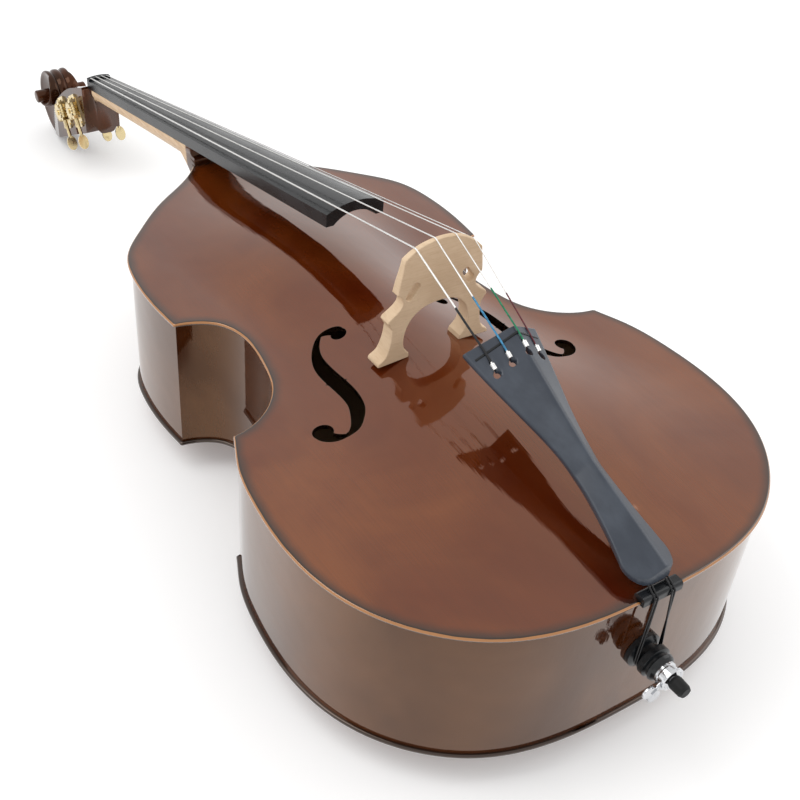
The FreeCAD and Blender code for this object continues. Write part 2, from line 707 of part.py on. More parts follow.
def tail_surface_z(x, y):
    """Top of the tailpiece: a roof whose ridge runs a little to the treble side."""
    half = tail_half(y)
    ridge_x = RIDGE_SHARE * half
    run = half - ridge_x if x > ridge_x else half + ridge_x
    return tail_edge_z(y) + tail_ridge(y) * (1 - min(abs(x - ridge_x) / run, 1))


def nut_groove(string):
    x = string["nut"]
    drop = size("board_radius") - math.sqrt(size("board_radius") ** 2 - x ** 2)
    return Vector(x, NUT_Y + size("nut_long") / 2, board_top(NUT_Y) - drop + 2.6)


def bridge_notch(string):
    x, z = string["bridge"]
    return Vector(x, BRIDGE_Y, z)


def string_path(string):
    tuner = [t for t in TUNERS if t["string"] == string["name"]][0]
    roller = Vector(0.5 * string["nut"] + tuner["side"] * 2, tuner["y"], tuner["z"])
    nut = nut_groove(string)
    gap = size("roller_radius") + string["radius"] + 0.3
    towards = nut - roller
    span = math.hypot(towards.y, towards.z)
    lean = math.atan2(towards.z, towards.y) - math.acos(gap / span)
    touch = Vector(roller.x, roller.y + gap * math.cos(lean), roller.z + gap * math.sin(lean))
    stop = Vector(string["tail"], TAIL_TOP_Y - 15, tail_surface_z(string["tail"], TAIL_TOP_Y - 15)
                  + 2.6 + string["radius"])
    anchor = Vector(string["tail"] * 0.98, TAIL_TOP_Y - 30,
                    tail_surface_z(string["tail"], TAIL_TOP_Y - 30) + 2.5)
    return roller, [touch, nut, bridge_notch(string), stop, anchor]


def string_groove(string):
    """The bent string, a little thicker, for cutting its grooves."""
    touch, nut, bridge, stop = string_path(string)[1][:4]
    return bent_tube([tuple(p) for p in (touch, nut, bridge, stop)], string["radius"] + 0.05, (6, 6))


def silk_start(bridge, stop):
    return bridge + (stop - bridge) * 0.58


def string_end(string, spare):
    """The silk-wrapped end of a string and its ferrule, thicker by some clearance."""
    bridge, stop, anchor = string_path(string)[1][2:]
    start = silk_start(bridge, stop)
    silk = string["radius"] + 0.25 + spare
    wrapped = bent_tube([tuple(p) for p in (start, stop, anchor)], silk, (4,))
    along = (anchor - stop).normalize()
    ferrule = rod(tuple(anchor - along * spare), tuple(anchor + along * (8 + spare)), 3.2 + spare)
    return wrapped, ferrule


def make_strings():
    for string in STRINGS:
        roller, (touch, nut, bridge, stop, anchor) = string_path(string)
        radius = string["radius"]
        steel = bent_tube([tuple(p) for p in (touch, nut, bridge, silk_start(bridge, stop))],
                          radius, (6, 6))
        pieces = [steel] + list(string_end(string, 0))
        side = 1 if string["nut"] < 0 else -1
        for turn in range(3):
            x = roller.x + side * (turn + 1) * (2 * radius + 0.1)
            pieces.append(Part.makeTorus(size("roller_radius") + radius + 0.3, radius,
                                         Vector(x, roller.y, roller.z), Vector(1, 0, 0)))
        feature("string_" + string["name"], Part.makeCompound(pieces))


def make_nut():
    top = board_top(NUT_Y)
    half = size("board_nut_half")
    low = glue_z(NUT_Y + size("nut_long"))
    radius = size("board_radius")
    middle = top + 3.2 - radius
    block = primitive("Part::Box", "nut_blank", Vector(-half, NUT_Y + 0.05, low),
                      Length="2 * dimensions.board_nut_half", Width="dimensions.nut_long")
    block.Height = top + 10 - low
    crown = primitive("Part::Cylinder", "nut_crown", Vector(0, NUT_Y - 5, middle),
                      Rotation(Vector(1, 0, 0), -90), Radius="dimensions.board_radius")
    crown.Height = 40
    shaped = boolean("Part::Common", "nut_shaped", block, crown)
    doc.recompute()
    shape = shaped.Shape.copy()
    shape = shape.cut(make_under_nut())
    for string in STRINGS:
        shape = shape.cut(string_groove(string))
    feature("nut", max(shape.Solids, key=lambda solid: solid.Volume))


def make_under_nut():
    """Everything below the sloping top of the neck, under the nut."""
    low, high = NUT_Y - 20, NUT_Y + 40
    cut = prism(polygon(((-60, low, glue_z(low)), (-60, high, glue_z(high)), (-60, high, -50),
                         (-60, low, -50))), (120, 0, 0))
    return cut


# ------------------------------------------------------------------ bridge
def make_bridge():
    """Two feet, a round arch, wings, a heart-less body with two slanting slots."""
    half_view = ((87.5, 254), (87, 262), (80, 267), (73.5, 279), (70.5, 298), (70.5, 311), (77.5, 323),
                 (76, 327), (60.5, 339.5), (57, 346), (58.5, 354), (65.5, 361), (64, 375), (61.5, 390),
                 (60, 399))
    crown = [(-59, 410), (-43, 421.6), (-15, 428.8), (16, 427), (47, 411.2), (60, 399)]
    arch_side = ((40, 254), (41, 266), (50, 280), (50.5, 295), (46, 311), (35, 325), (20, 332.5), (0, 335))
    thick = size("bridge_thick")
    y = BRIDGE_Y + thick
    right = [(x, y, z) for x, z in half_view]
    left = [(-x, y, z) for x, z in half_view]
    left[-1] = (-59, y, 410)
    under = [(x, y, z) for x, z in arch_side]
    arch = spline([(-x, py, z) for x, py, z in under[1:]] + under[1:-1][::-1]).toShape()
    outline = [Part.makePolygon([Vector(*p) for p in right]),
               Part.makePolygon([Vector(*p) for p in left]),
               spline([(x, y, z) for x, z in crown]).toShape(),
               Part.makeLine(Vector(*right[0]), Vector(*under[0])),
               Part.makeLine(Vector(*left[0]), Vector(-under[0][0], y, under[0][2])),
               Part.makeLine(Vector(*under[0]), Vector(*under[1])),
               Part.makeLine(Vector(-under[0][0], y, under[0][2]), Vector(-under[1][0], y, under[1][2])),
               arch]
    edges = []
    for piece in outline:
        edges += piece.Edges
    wire = Part.Wire(Part.__sortEdges__(edges))
    blank = Part.Face(wire).extrude(Vector(0, -thick - 10, 0))
    tail_face = BRIDGE_Y - size("bridge_top_thick") / 2
    neck_face_top = BRIDGE_Y + size("bridge_top_thick") / 2
    side_view = polygon(((-120, tail_face, 240), (-120, tail_face + thick, 240),
                         (-120, tail_face + thick, 262), (-120, neck_face_top, 440),
                         (-120, tail_face, 440)))
    bridge = blank.common(prism(side_view, (240, 0, 0)))
    below = arched_solid(lambda x, y: belly_top(x, y) + 0.02, -60)
    bridge = bridge.cut(below)
    for side in (-1, 1):
        slot = box((-5.5, BRIDGE_Y - 40, -13), (5.5, BRIDGE_Y + 60, 13))
        slot = slot.makeFillet(4, [e for e in slot.Edges if abs(e.Length - 100) < 0.1])
        slot.Placement = Placement(Vector(side * 43, 0, 361), Rotation(Vector(0, 1, 0), side * 33))
        bridge = bridge.cut(slot)
    for string in STRINGS:
        bridge = bridge.cut(string_groove(string))
    feature("bridge", max(bridge.Solids, key=lambda solid: solid.Volume))


# ------------------------------------------------------------------ tailpiece and endpin
def roof_section(y, half, hollow):
    """Cross-section of the tailpiece: a roof, hollowed under its ridge by a share."""
    edge = tail_edge_z(y)
    ridge = tail_ridge(y)
    under = edge - size("tail_thick")
    ridge_x = RIDGE_SHARE * half
    return polygon(((-half, y, under), (ridge_x, y, under + ridge * hollow), (half, y, under),
                    (half, y, edge), (ridge_x, y, edge + ridge), (-half, y, edge)))


def make_tailpiece():
    right = spline([(w, y, 0) for y, w in TAIL_WIDTHS]).toShape()
    left = mirrored(right)
    end = spline(((-32, 45, 0), (-30, 22, 0), (-18, 10, 0), (0, 8, 0), (18, 10, 0), (30, 22, 0),
                  (32, 45, 0))).toShape()
    top = Part.makePolygon([Vector(-55, 336, 0), Vector(11, 329, 0), Vector(55, 336, 0)])
    plan = Part.Wire(Part.__sortEdges__([right, left, end] + top.Edges))
    outline = prism(plan, (0, 0, 600))
    piece = roof_plan_solid().common(outline)
    fret = make_fret_shape()
    piece = piece.cut(fret)
    for string in STRINGS:
        x = string["tail"]
        y = TAIL_TOP_Y - 42
        hole = Part.makeCylinder(5, 200, Vector(x * 0.98, y, 250))
        slit = box((x * 0.98 - 1.5, y, 250), (x * 0.98 + 1.5, y + 18, 450))
        wrapped, ferrule = string_end(string, 0.05)
        piece = piece.cut(hole).cut(slit).cut(wrapped).cut(ferrule)
        fret = fret.cut(wrapped)
    for side in (-1, 1):
        for lane in (0, 1):
            points = [(side * x, py, z) for x, py, z in wire_points(lane)[:3]]
            piece = piece.cut(bent_tube(points, WIRE + 0.1, (3,)))
    feature("tailpiece", piece)
    feature("tailpiece_fret", fret)


def roof_plan_solid():
    """Roof of two flat sides that follows the outline's width at three stations."""
    hollows = (0.02, 0.02, 0.6, 0.9, 0.9)
    stations = [(y, half, hollow) for (y, half), hollow in zip(TAIL_HALVES, hollows)]
    return Part.makeLoft([roof_section(*station) for station in stations], True, True)


def make_fret_shape():
    y = TAIL_TOP_Y - 15
    middle = Vector(RIDGE_SHARE * tail_half(y), y - 2, tail_edge_z(y) + tail_ridge(y) + 0.6)
    bars = []
    for side in (-1, 1):
        outer = Vector(side * 47, y, tail_surface_z(side * 47, y) + 0.6)
        bars.append(rod(tuple(outer), tuple(middle), 1.6))
    bars.append(Part.makeSphere(1.6, middle))
    return bars[0].multiFuse(bars[1:])


WIRE = size("wire_radius")
GROOVE_Y, GROOVE_R = -9, 17
SADDLE_RISE = size("saddle_rise")


def wire_points(lane):
    """Half of one loop of the tail wire, from the tailpiece down to the endpin's groove."""
    x = 11 + 4.2 * lane
    y = GROOVE_Y + (1.7 if lane else -1.7)
    around = GROOVE_R + WIRE + 0.1
    return [(9 + 4.2 * lane, 36, tail_edge_z(36) - 1), (x, 2, DEPTH + SADDLE_RISE + 1.8),
            (x, -6.6, DEPTH + SADDLE_RISE - 4),
            (around, y, size("pin_z") + 2), (around, y, size("pin_z") - around)]


def make_tail_wire():
    loops = []
    around = GROOVE_R + WIRE + 0.1
    for lane in (0, 1):
        half = wire_points(lane)
        points = [(-x, y, z) for x, y, z in half] + half[::-1]
        bends = (3, 3, 12, around)
        loops.append(bent_tube(points, WIRE, bends + bends[::-1]))
    feature("tail_wire", Part.makeCompound(loops))


def make_saddle():
    wide, low = 60, DEPTH - PLATE
    high = DEPTH + SADDLE_RISE
    block = box((-wide / 2 + 0.1, -4.5, low + 0.05), (wide / 2 - 0.1, 12.9, high))
    top = [e for e in block.Edges if abs(e.CenterOfMass.z - high) < 0.1 and abs(e.Length - wide) < 1]
    block = block.makeFillet(5, top)
    for side in (-1, 1):
        for lane in (0, 1):
            points = [(side * x, y, z) for x, y, z in wire_points(lane)[:4]]
            block = block.cut(bent_tube(points, WIRE + 0.05, (3, 3)))
    feature("saddle", block)


def turned_profile(profile):
    """A piece turned about the endpin's axis, from (station, radius) corners."""
    pin_z = size("pin_z")
    points = [(0, profile[0][0], pin_z)] + [(r, y, pin_z) for y, r in profile] + [(0, profile[-1][0], pin_z)]
    return Part.Face(polygon(points)).revolve(Vector(0, 0, pin_z), Vector(0, 1, 0), 360)


def make_endpin():
    pin_z = size("pin_z")
    bore = rod((0, -90, pin_z), (0, 100, pin_z), size("rod_radius") + size("rod_clear"))
    rib_face = RIB_NEAR - 0.6
    plug = turned_profile(((62, 12), (62, 14), (rib_face, 14), (rib_face, 25), (-2, 25), (-6, GROOVE_R),
                           (-12.5, GROOVE_R), (-15, 22), (-23, 22), (-25, 18), (-28, 18), (-30, 20),
                           (-34, 19), (-38, 15)))
    feature("endpin_plug", plug.cut(bore))
    aim = Vector(-0.755, 0, -0.656)
    collar = turned_profile(((-38.05, 15.5), (-41, 15.5), (-42, 14), (-49, 14), (-50, 16.5), (-53, 16.5),
                             (-53.6, 15.6), (-53.6, 13.4), (-52.4, 12.6), (-52.4, 11)))
    boss = rod((0, -46, pin_z), tuple(Vector(0, -46, pin_z) + aim * 18), 6)
    screw_way = rod(tuple(Vector(0, -46, pin_z) + aim * (size("rod_radius") + 0.1)),
                    tuple(Vector(0, -46, pin_z) + aim * 40), 3.08)
    feature("endpin_collar", collar.fuse(boss).cut(bore).cut(screw_way).removeSplitter())
    stem = rod(tuple(Vector(0, -46, pin_z) + aim * (size("rod_radius") + 0.4)),
               tuple(Vector(0, -46, pin_z) + aim * 26), 3)
    wing = box((-5, -4, 0), (5, 4, 8))
    for x in (-8.5, 8.5):
        lobe = rod((x, -2.5, 9), (x, 2.5, 9), 9.5)
        wing = wing.fuse(lobe.makeFillet(1.6, [e for e in lobe.Edges if e.Length > 40]))
    wing.Placement = Placement(Vector(0, -46, pin_z) + aim * 21, Rotation(Vector(0, 0, 1), aim))
    feature("endpin_thumbscrew", stem.fuse(wing).removeSplitter())
    shaft = primitive("Part::Cylinder", "endpin_rod", Vector(0, -56, pin_z),
                      Rotation(Vector(1, 0, 0), -90), Radius="dimensions.rod_radius",
                      Height="dimensions.rod_long")
    place(shaft)
    tip = turned_profile(((-54, 8.5), (-58, 9.5), (-72, 9), (-76, 7)))
    tip = tip.cut(rod((0, -56.05, pin_z), (0, 0, pin_z), size("rod_radius") + 0.02))
    feature("endpin_tip", tip)


make_plates()
make_ribs_and_blocks()
make_bass_bar_and_post()
make_neck()
make_fingerboard()
make_nut()
make_tuners()
make_bridge()
make_strings()
make_tailpiece()
make_tail_wire()
make_saddle()
make_endpin()

doc.recompute()
for item in doc.Objects:
    if {"Invalid", "Error"} & set(item.State):
        raise RuntimeError("failed: " + item.Label)
os.makedirs("parts", exist_ok=True)
for item in nodes:
    if item.Shape.isNull() or not item.Shape.isValid():
        raise RuntimeError("bad shape: " + item.Label)
    item.Shape.exportStep(os.path.join("parts", item.Label + ".step"))
    print(item.Label, len(item.Shape.Solids), round(item.Shape.Volume / 1000, 1))
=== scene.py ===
"""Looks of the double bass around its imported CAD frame."""

import math

import bmesh
import bpy
import numpy as np
from mathutils import Matrix, Vector
from mathutils.geometry import delaunay_2d_cdt


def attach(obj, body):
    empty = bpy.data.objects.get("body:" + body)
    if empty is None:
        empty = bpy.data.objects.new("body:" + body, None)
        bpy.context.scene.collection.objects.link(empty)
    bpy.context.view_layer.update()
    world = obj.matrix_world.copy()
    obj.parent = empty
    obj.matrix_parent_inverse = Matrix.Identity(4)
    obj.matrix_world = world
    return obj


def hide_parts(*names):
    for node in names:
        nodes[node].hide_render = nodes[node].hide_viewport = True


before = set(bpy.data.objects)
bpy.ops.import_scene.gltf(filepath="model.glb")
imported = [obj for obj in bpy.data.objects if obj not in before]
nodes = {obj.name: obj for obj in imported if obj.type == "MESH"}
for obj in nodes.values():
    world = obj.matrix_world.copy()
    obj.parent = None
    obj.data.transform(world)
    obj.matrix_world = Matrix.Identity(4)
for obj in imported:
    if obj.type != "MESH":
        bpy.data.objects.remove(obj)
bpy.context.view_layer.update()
scene = bpy.context.scene

# Shapes are worked out in millimetres at body stations: x across, y from the lower
# end of the body towards the scroll, z up from the edge of the back.
CROWN_Y, BACK_RISE = 700.0, 50.0
ORIGIN = np.array((0.0, -CROWN_Y, BACK_RISE))


def row(points):
    """Body stations in millimetres as points of the row frame in metres."""
    return (np.asarray(points, float) + ORIGIN) * 0.001


def add_object(name, data):
    item = bpy.data.objects.new(name, data)
    scene.collection.objects.link(item)
    return item


# ------------------------------------------------------------------ camera and light
CAMERA_AT = (-0.8438, -1.2958, 1.3064)
CAMERA_RIGHT = Vector((0.827503, -0.555888, 0.078917))
CAMERA_DOWN = Vector((-0.338561, -0.606158, -0.719687))
CAMERA_AHEAD = Vector((0.447901, 0.568825, -0.689799))
SENSOR, LENS, SHIFT_X, SHIFT_Y = 36, 56.69, -0.0124, 0.1325

LIT_POINT = (0, -0.1, 0.2)
WORLD_STRENGTH = 0.92
FLOOR_HALF, FLOOR_WHITE, FLOOR_GLOW = 12.0, 0.93, 0.14


def make_camera():
    data = bpy.data.cameras.new("camera")
    camera = add_object("camera", data)
    turned = Matrix((CAMERA_RIGHT, -CAMERA_DOWN, -CAMERA_AHEAD)).transposed().to_4x4()
    camera.matrix_world = Matrix.Translation(CAMERA_AT) @ turned
    data.sensor_width = SENSOR
    data.lens = LENS
    data.shift_x, data.shift_y = SHIFT_X, SHIFT_Y
    data.clip_start = 0.05
    scene.camera = camera


def area_light(name, at, size, power):
    data = bpy.data.lights.new(name, "AREA")
    data.shape = "RECTANGLE"
    data.size, data.size_y = size
    data.energy = power
    light = add_object(name, data)
    light.location = at
    light.rotation_euler = (Vector(LIT_POINT) - Vector(at)).to_track_quat("-Z", "Y").to_euler()


def make_studio():
    world = bpy.data.worlds.new("studio")
    scene.world = world
    world.use_nodes = True
    background = world.node_tree.nodes["Background"]
    background.inputs["Color"].default_value = (1.0, 1.0, 1.0, 1)
    background.inputs["Strength"].default_value = WORLD_STRENGTH
    area_light("key", (-1.6, 0.4, 2.6), (1.6, 2.2), 26)
    area_light("fill", (2.2, -0.8, 1.9), (2.0, 2.0), 16)
    floor_mesh = bpy.data.meshes.new("floor")
    corners = [(x * FLOOR_HALF, y * FLOOR_HALF, 0) for x, y in ((-1, -1), (1, -1), (1, 1), (-1, 1))]
    floor_mesh.from_pydata(corners, [], [(0, 1, 2, 3)])
    floor = add_object("floor", floor_mesh)
    paint = Shader("floor_paint", {
        "Roughness": 0.9, "Specular IOR Level": 0.1, "Base Color": (FLOOR_WHITE,) * 3,
        "Emission Color": (1.0, 1.0, 1.0), "Emission Strength": FLOOR_GLOW})
    floor_mesh.materials.append(paint.material)
    scene.view_settings.view_transform = "Standard"


# ------------------------------------------------------------------ materials
class Shader:
    """A material whose calls add nodes and give back their output sockets."""

    def __init__(self, name, constants):
        self.material = bpy.data.materials.new(name)
        self.material.use_nodes = True
        self.tree = self.material.node_tree
        self.surface = self.tree.nodes["Principled BSDF"]
        for key, value in constants.items():
            if isinstance(value, tuple):
                value = value + (1,)
            self.surface.inputs[key].default_value = value

    def add(self, kind, settings=None, **inputs):
        """A new node; an input is named with _ for a space, or _ and its number."""
        made = self.tree.nodes.new("ShaderNode" + kind)
        for key, value in (settings or {}).items():
            setattr(made, key, value)
        for key, value in inputs.items():
            self.feed(made.inputs[int(key[1:]) if key[0] == "_" else key.replace("_", " ")], value)
        return made

    def feed(self, socket, value):
        if isinstance(value, bpy.types.NodeSocket):
            self.tree.links.new(value, socket)
        elif isinstance(value, tuple) and socket.type == "RGBA":
            socket.default_value = value + (1,)
        else:
            socket.default_value = value

    def set(self, key, value):
        self.feed(self.surface.inputs[key], value)

    def place(self, scale=(1, 1, 1), shift=(0, 0, 0)):
        """Row-frame coordinates in metres, scaled."""
        at = self.add("TexCoord").outputs["Object"]
        return self.add("Mapping", Vector=at, Scale=scale, Location=shift).outputs[0]

    def axis(self, letter):
        at = self.add("TexCoord").outputs["Object"]
        return self.add("SeparateXYZ", Vector=at).outputs[letter]

    def noise(self, scale, detail=3.0, rough=0.5, warp=0.0, shift=(0, 0, 0)):
        made = self.add("TexNoise", Vector=self.place(scale, shift), Scale=1.0, Detail=detail,
                        Roughness=rough, Distortion=warp)
        return made.outputs["Fac"]

    def math(self, operation, first, second=0.0):
        return self.add("Math", {"operation": operation}, _0=first, _1=second).outputs[0]

    def band(self, value, low, high, to_low=0.0, to_high=1.0):
        """A smooth step from one number to another while the value goes from low to high."""
        made = self.add("MapRange", {"interpolation_type": "SMOOTHSTEP"}, Value=value,
                        From_Min=low, From_Max=high, To_Min=to_low, To_Max=to_high)
        return made.outputs[0]

    def mix(self, share, first, second, blend="MIX"):
        made = self.add("Mix", {"data_type": "RGBA", "blend_type": blend})
        self.feed(made.inputs["Factor"], share)
        self.feed(made.inputs[6], first)
        self.feed(made.inputs[7], second)
        return made.outputs[2]

    def attribute(self, name):
        return self.add("Attribute", {"attribute_name": name}).outputs["Fac"]

    def bump(self, height, distance):
        return self.add("Bump", Height=height, Distance=distance, Strength=1.0).outputs[0]


BARE_WOOD = (0.50, 0.36, 0.22)


def varnish(name, dark, middle, light, edge=True, worn=True, coat=1.0,
            sheens=((1.0, 0.30, 0.05), (1.0, 0.42, 0.12))):
    """Stained wood under a thick gloss coat. A plate with a sawn edge is darker towards it,
    black at its rim and in its holes, bare indoors, and may be worn bare at the rim.
    Distances to the edge and the holes are in millimetres."""
    made = Shader(name, {"Roughness": 0.06, "Coat Roughness": 0.02, "Coat IOR": 1.5,
                         "Specular IOR Level": 1.0})
    cloud = made.noise((4.5, 3.0, 3.0), 4, 0.55, 0.6)
    patch = made.noise((13, 8, 8), 3, 0.6, 0.4, (3, 1, 0))
    tone = made.mix(made.band(cloud, 0.30, 0.70), dark, light)
    tone = made.mix(made.band(patch, 0.35, 0.75, 0.0, 0.55), tone, middle)
    lines = made.noise((700, 6, 60), 3, 0.6, 0.4)
    tone = made.mix(made.band(lines, 0.3, 0.75, 0.0, 0.22), tone, (0.02, 0.004, 0.001))
    sheen = made.mix(made.band(cloud, 0.30, 0.70), *sheens)
    if edge:
        inwards = made.attribute("edge")
        wander = made.math("ADD", inwards, made.math("MULTIPLY", made.noise((25, 25, 25), 2), 9.0))
        burst = made.band(wander, 6, 22, 0.85, 0.0)
        tone = made.mix(burst, tone, (0.014, 0.006, 0.003))
        sheen = made.mix(burst, sheen, (0.35, 0.22, 0.15))
        tone = made.mix(made.band(inwards, 2.6, 5.4, 0.97, 0.0), tone, (0.002, 0.0015, 0.0015))
        if worn:
            rubbed = made.math("ADD", inwards, made.math("MULTIPLY", made.noise((40, 40, 40), 4), 1.4))
            tone = made.mix(made.band(rubbed, 2.2, 2.8, 1.0, 0.0), tone, (0.36, 0.16, 0.055))
        tone = made.mix(made.band(made.attribute("hole"), 0.1, 0.8, 0.96, 0.0), tone, (0.004, 0.003, 0.002))
        indoors = made.attribute("bare")
        tone = made.mix(indoors, tone, BARE_WOOD)
        made.set("Coat Weight", made.math("MULTIPLY", made.math("SUBTRACT", 1.0, indoors), coat))
    else:
        # Ribs: the coat is thinner towards the bass side (lower x), so they reflect less there: painted shade
        # in the reflection
        made.set("Coat Weight", made.band(made.axis("X"), -0.20, 0.07, 0.62 * coat, coat))
    made.set("Base Color", tone)
    made.set("Specular Tint", sheen)
    ripple = made.noise((320, 7, 60), 2, 0.5)
    swell = made.noise((14, 9, 9), 2, 0.5)
    uneven = made.bump(made.math("ADD", made.math("MULTIPLY", ripple, 0.08), swell), 0.0009)
    made.set("Coat Normal", uneven)
    made.set("Normal", uneven)
    return made.material


def zoned_neck():
    """Bare oiled maple at the shaft, gloss brown at the heel, the chin and the head."""
    made = Shader("neck_maple", {"Specular IOR Level": 0.35, "Coat Roughness": 0.04})
    along, height = made.axis("Y"), made.axis("Z")
    heel = made.band(along, 0.416, 0.424, 1.0, 0.0)
    lean = made.math("ADD", along, made.math("MULTIPLY", height, 0.10))
    chin = made.math("MULTIPLY", made.band(along, 0.8285, 0.8295), made.band(height, 0.176, 0.184, 1.0, 0.0))
    head = made.math("MAXIMUM", made.band(lean, 0.854, 0.858), chin)
    stained = made.math("MAXIMUM", heel, head)
    fine = made.noise((520, 14, 520), 3, 0.6, 0.4)
    flame = made.noise((20, 90, 20), 2, 0.5, 0.6)
    bare = made.mix(made.band(fine, 0.3, 0.7), (0.50, 0.33, 0.19), (0.66, 0.48, 0.31))
    bare = made.mix(made.band(flame, 0.4, 0.7, 0.0, 0.25), bare, (0.44, 0.27, 0.14))
    cloud = made.noise((14, 14, 14), 4, 0.55, 0.5)
    brown = made.mix(made.band(cloud, 0.3, 0.7), (0.012, 0.004, 0.002), (0.060, 0.014, 0.004))
    brown = made.mix(made.band(fine, 0.4, 0.8, 0.0, 0.3), brown, (0.01, 0.004, 0.002))
    made.set("Base Color", made.mix(stained, bare, brown))
    made.set("Roughness", made.band(stained, 0, 1, 0.42, 0.08))
    made.set("Specular Tint", made.mix(stained, (1.0, 1.0, 1.0), (1.0, 0.42, 0.16)))
    made.set("Coat Weight", made.math("MULTIPLY", stained, 0.3))
    made.set("Normal", made.bump(made.math("ADD", fine, flame), 0.00012))
    return made.material


def plain_wood(name, first, second):
    """Unvarnished wood with its grain along z."""
    scale, rough = (500, 500, 18), 0.6
    made = Shader(name, {"Specular IOR Level": 0.3})
    lines = made.noise(scale, 4, 0.65, 0.6)
    rings = made.noise(tuple(0.18 * s for s in scale), 3, 0.5, 0.8, (2, 5, 1))
    flecks = made.noise(tuple(1.6 * s for s in scale), 1, 0.4)
    tone = made.mix(made.band(lines, 0.3, 0.7), first, second)
    tone = made.mix(made.band(rings, 0.35, 0.7, 0.0, 0.45), tone, tuple(0.82 * c for c in first))
    tone = made.mix(made.band(flecks, 0.62, 0.75, 0.0, 0.35), tone, tuple(0.6 * c for c in first))
    made.set("Base Color", tone)
    made.set("Roughness", made.band(lines, 0.2, 0.8, rough - 0.08, rough + 0.08))
    made.set("Normal", made.bump(lines, 0.00012))
    return made.material


def satin(name, first, second, rough, bump=0.00006, shine=0.5):
    """Painted or moulded black with a soft sheen and a fine texture."""
    made = Shader(name, {"Specular IOR Level": shine})
    cloud = made.noise((30, 12, 30), 4, 0.6, 0.3)
    fine = made.noise((900, 160, 900), 2, 0.6)
    tone = made.mix(made.band(cloud, 0.35, 0.7), first, second)
    made.set("Base Color", tone)
    made.set("Roughness", made.band(cloud, 0.2, 0.8, rough - 0.06, rough + 0.07))
    made.set("Normal", made.bump(fine, bump))
    return made.material


def metal(name, tone, dull, rough):
    """Polished metal with dull patches and fine scuffs."""
    made = Shader(name, {"Metallic": 1.0})
    scuff = made.noise((600, 600, 600), 3, 0.6)
    stain = made.noise((60, 60, 60), 4, 0.6, 0.5)
    made.set("Base Color", made.mix(made.band(stain, 0.4, 0.75, 0.0, 0.6), tone, dull))
    made.set("Roughness", made.band(scuff, 0.2, 0.8, rough * 0.6, rough * 1.5))
    made.set("Normal", made.bump(scuff, 0.00002))
    return made.material


SILK_FROM, FERRULE_FROM, WINDING_PITCH = -0.31873, -0.3925, 0.0011


def wound_string(name, silk):
    """Wound steel with coloured silk in front of the tailpiece, and a metal ferrule in it."""
    made = Shader(name, {})
    along = made.axis("Y")
    wrapped = made.band(along, SILK_FROM - 0.0006, SILK_FROM + 0.0006, 1.0, 0.0)
    ferrule = made.band(along, FERRULE_FROM - 0.0004, FERRULE_FROM + 0.0004, 1.0, 0.0)
    wrapped = made.math("SUBTRACT", wrapped, ferrule)
    wind = made.math("SINE", made.math("MULTIPLY", along, 2 * math.pi / WINDING_PITCH))
    thread = made.noise((700, 90, 700), 2, 0.6)
    # The steel is lighter on the ridges of the turns and darker in the grooves between them: painted shade
    steel = made.mix(made.band(wind, -1, 1), (0.72, 0.71, 0.69), (0.92, 0.91, 0.89))
    cloth = made.mix(made.band(thread, 0.35, 0.7), silk, tuple(0.45 * c for c in silk))
    made.set("Base Color", made.mix(wrapped, steel, cloth))
    made.set("Metallic", made.math("SUBTRACT", 1.0, wrapped))
    made.set("Roughness", made.band(wrapped, 0, 1, 0.28, 0.7))
    made.set("Normal", made.bump(made.math("ADD", wind, thread), 0.00006))
    return made.material


def bridge_wood():
    """Pale maple whose grain lies across the bridge, with short flecks."""
    made = Shader("bridge_wood", {"Specular IOR Level": 0.25})
    flecks = made.noise((170, 60, 700), 2, 0.5, 0.3)
    lines = made.noise((36, 60, 620), 3, 0.6, 0.5)
    cloud = made.noise((18, 18, 18), 3, 0.5)
    tone = made.mix(made.band(cloud, 0.3, 0.7), (0.60, 0.44, 0.29), (0.70, 0.53, 0.36))
    tone = made.mix(made.band(lines, 0.4, 0.75, 0.0, 0.35), tone, (0.50, 0.34, 0.20))
    tone = made.mix(made.band(flecks, 0.58, 0.72, 0.0, 0.22), tone, (0.44, 0.29, 0.17))
    made.set("Base Color", tone)
    made.set("Roughness", made.band(lines, 0.2, 0.8, 0.5, 0.62))
    made.set("Normal", made.bump(lines, 0.0001))
    return made.material


# ------------------------------------------------------------------ curves
def end_slope(points, times, at):
    """Slope at one end of the cubic through the four points nearest to it."""
    count = min(4, len(points))
    some = slice(0, count) if at == 0 else slice(len(points) - count, len(points))
    origin = times[at]
    fits = [np.polyfit(times[some] - origin, points[some, k], count - 1) for k in range(points.shape[1])]
    return np.array([fit[-2] for fit in fits])


def curve(points, step=4.0, start=None, end=None):
    """Points of the cubic spline through the given ones, about a step apart."""
    p = np.array(points, float)
    gaps = np.linalg.norm(np.diff(p, axis=0), axis=1)
    times = np.concatenate(([0.0], np.cumsum(gaps)))
    count = len(p)
    if count == 2:
        shares = np.linspace(0, 1, max(2, int(gaps[0] / step) + 1))[:, None]
        return p[0] + shares * (p[1] - p[0])
    left = np.eye(count)
    right = np.zeros_like(p)
    right[0] = end_slope(p, times, 0) if start is None else start
    right[-1] = end_slope(p, times, -1) if end is None else end
    for i in range(1, count - 1):
        before, after = gaps[i - 1], gaps[i]
        left[i, i - 1:i + 2] = 1 / before, 2 / before + 2 / after, 1 / after
        right[i] = 3 * ((p[i] - p[i - 1]) / before ** 2 + (p[i + 1] - p[i]) / after ** 2)
    slopes = np.linalg.solve(left, right)
    found = []
    for i, gap in enumerate(gaps):
        t = np.linspace(0, 1, max(2, int(round(gap / step)) + 1))[:-1, None]
        found.append((2 * t ** 3 - 3 * t ** 2 + 1) * p[i] + (t ** 3 - 2 * t ** 2 + t) * gap * slopes[i]
                     + (3 * t ** 2 - 2 * t ** 3) * p[i + 1] + (t ** 3 - t ** 2) * gap * slopes[i + 1])
    return np.vstack(found + [p[-1:]])


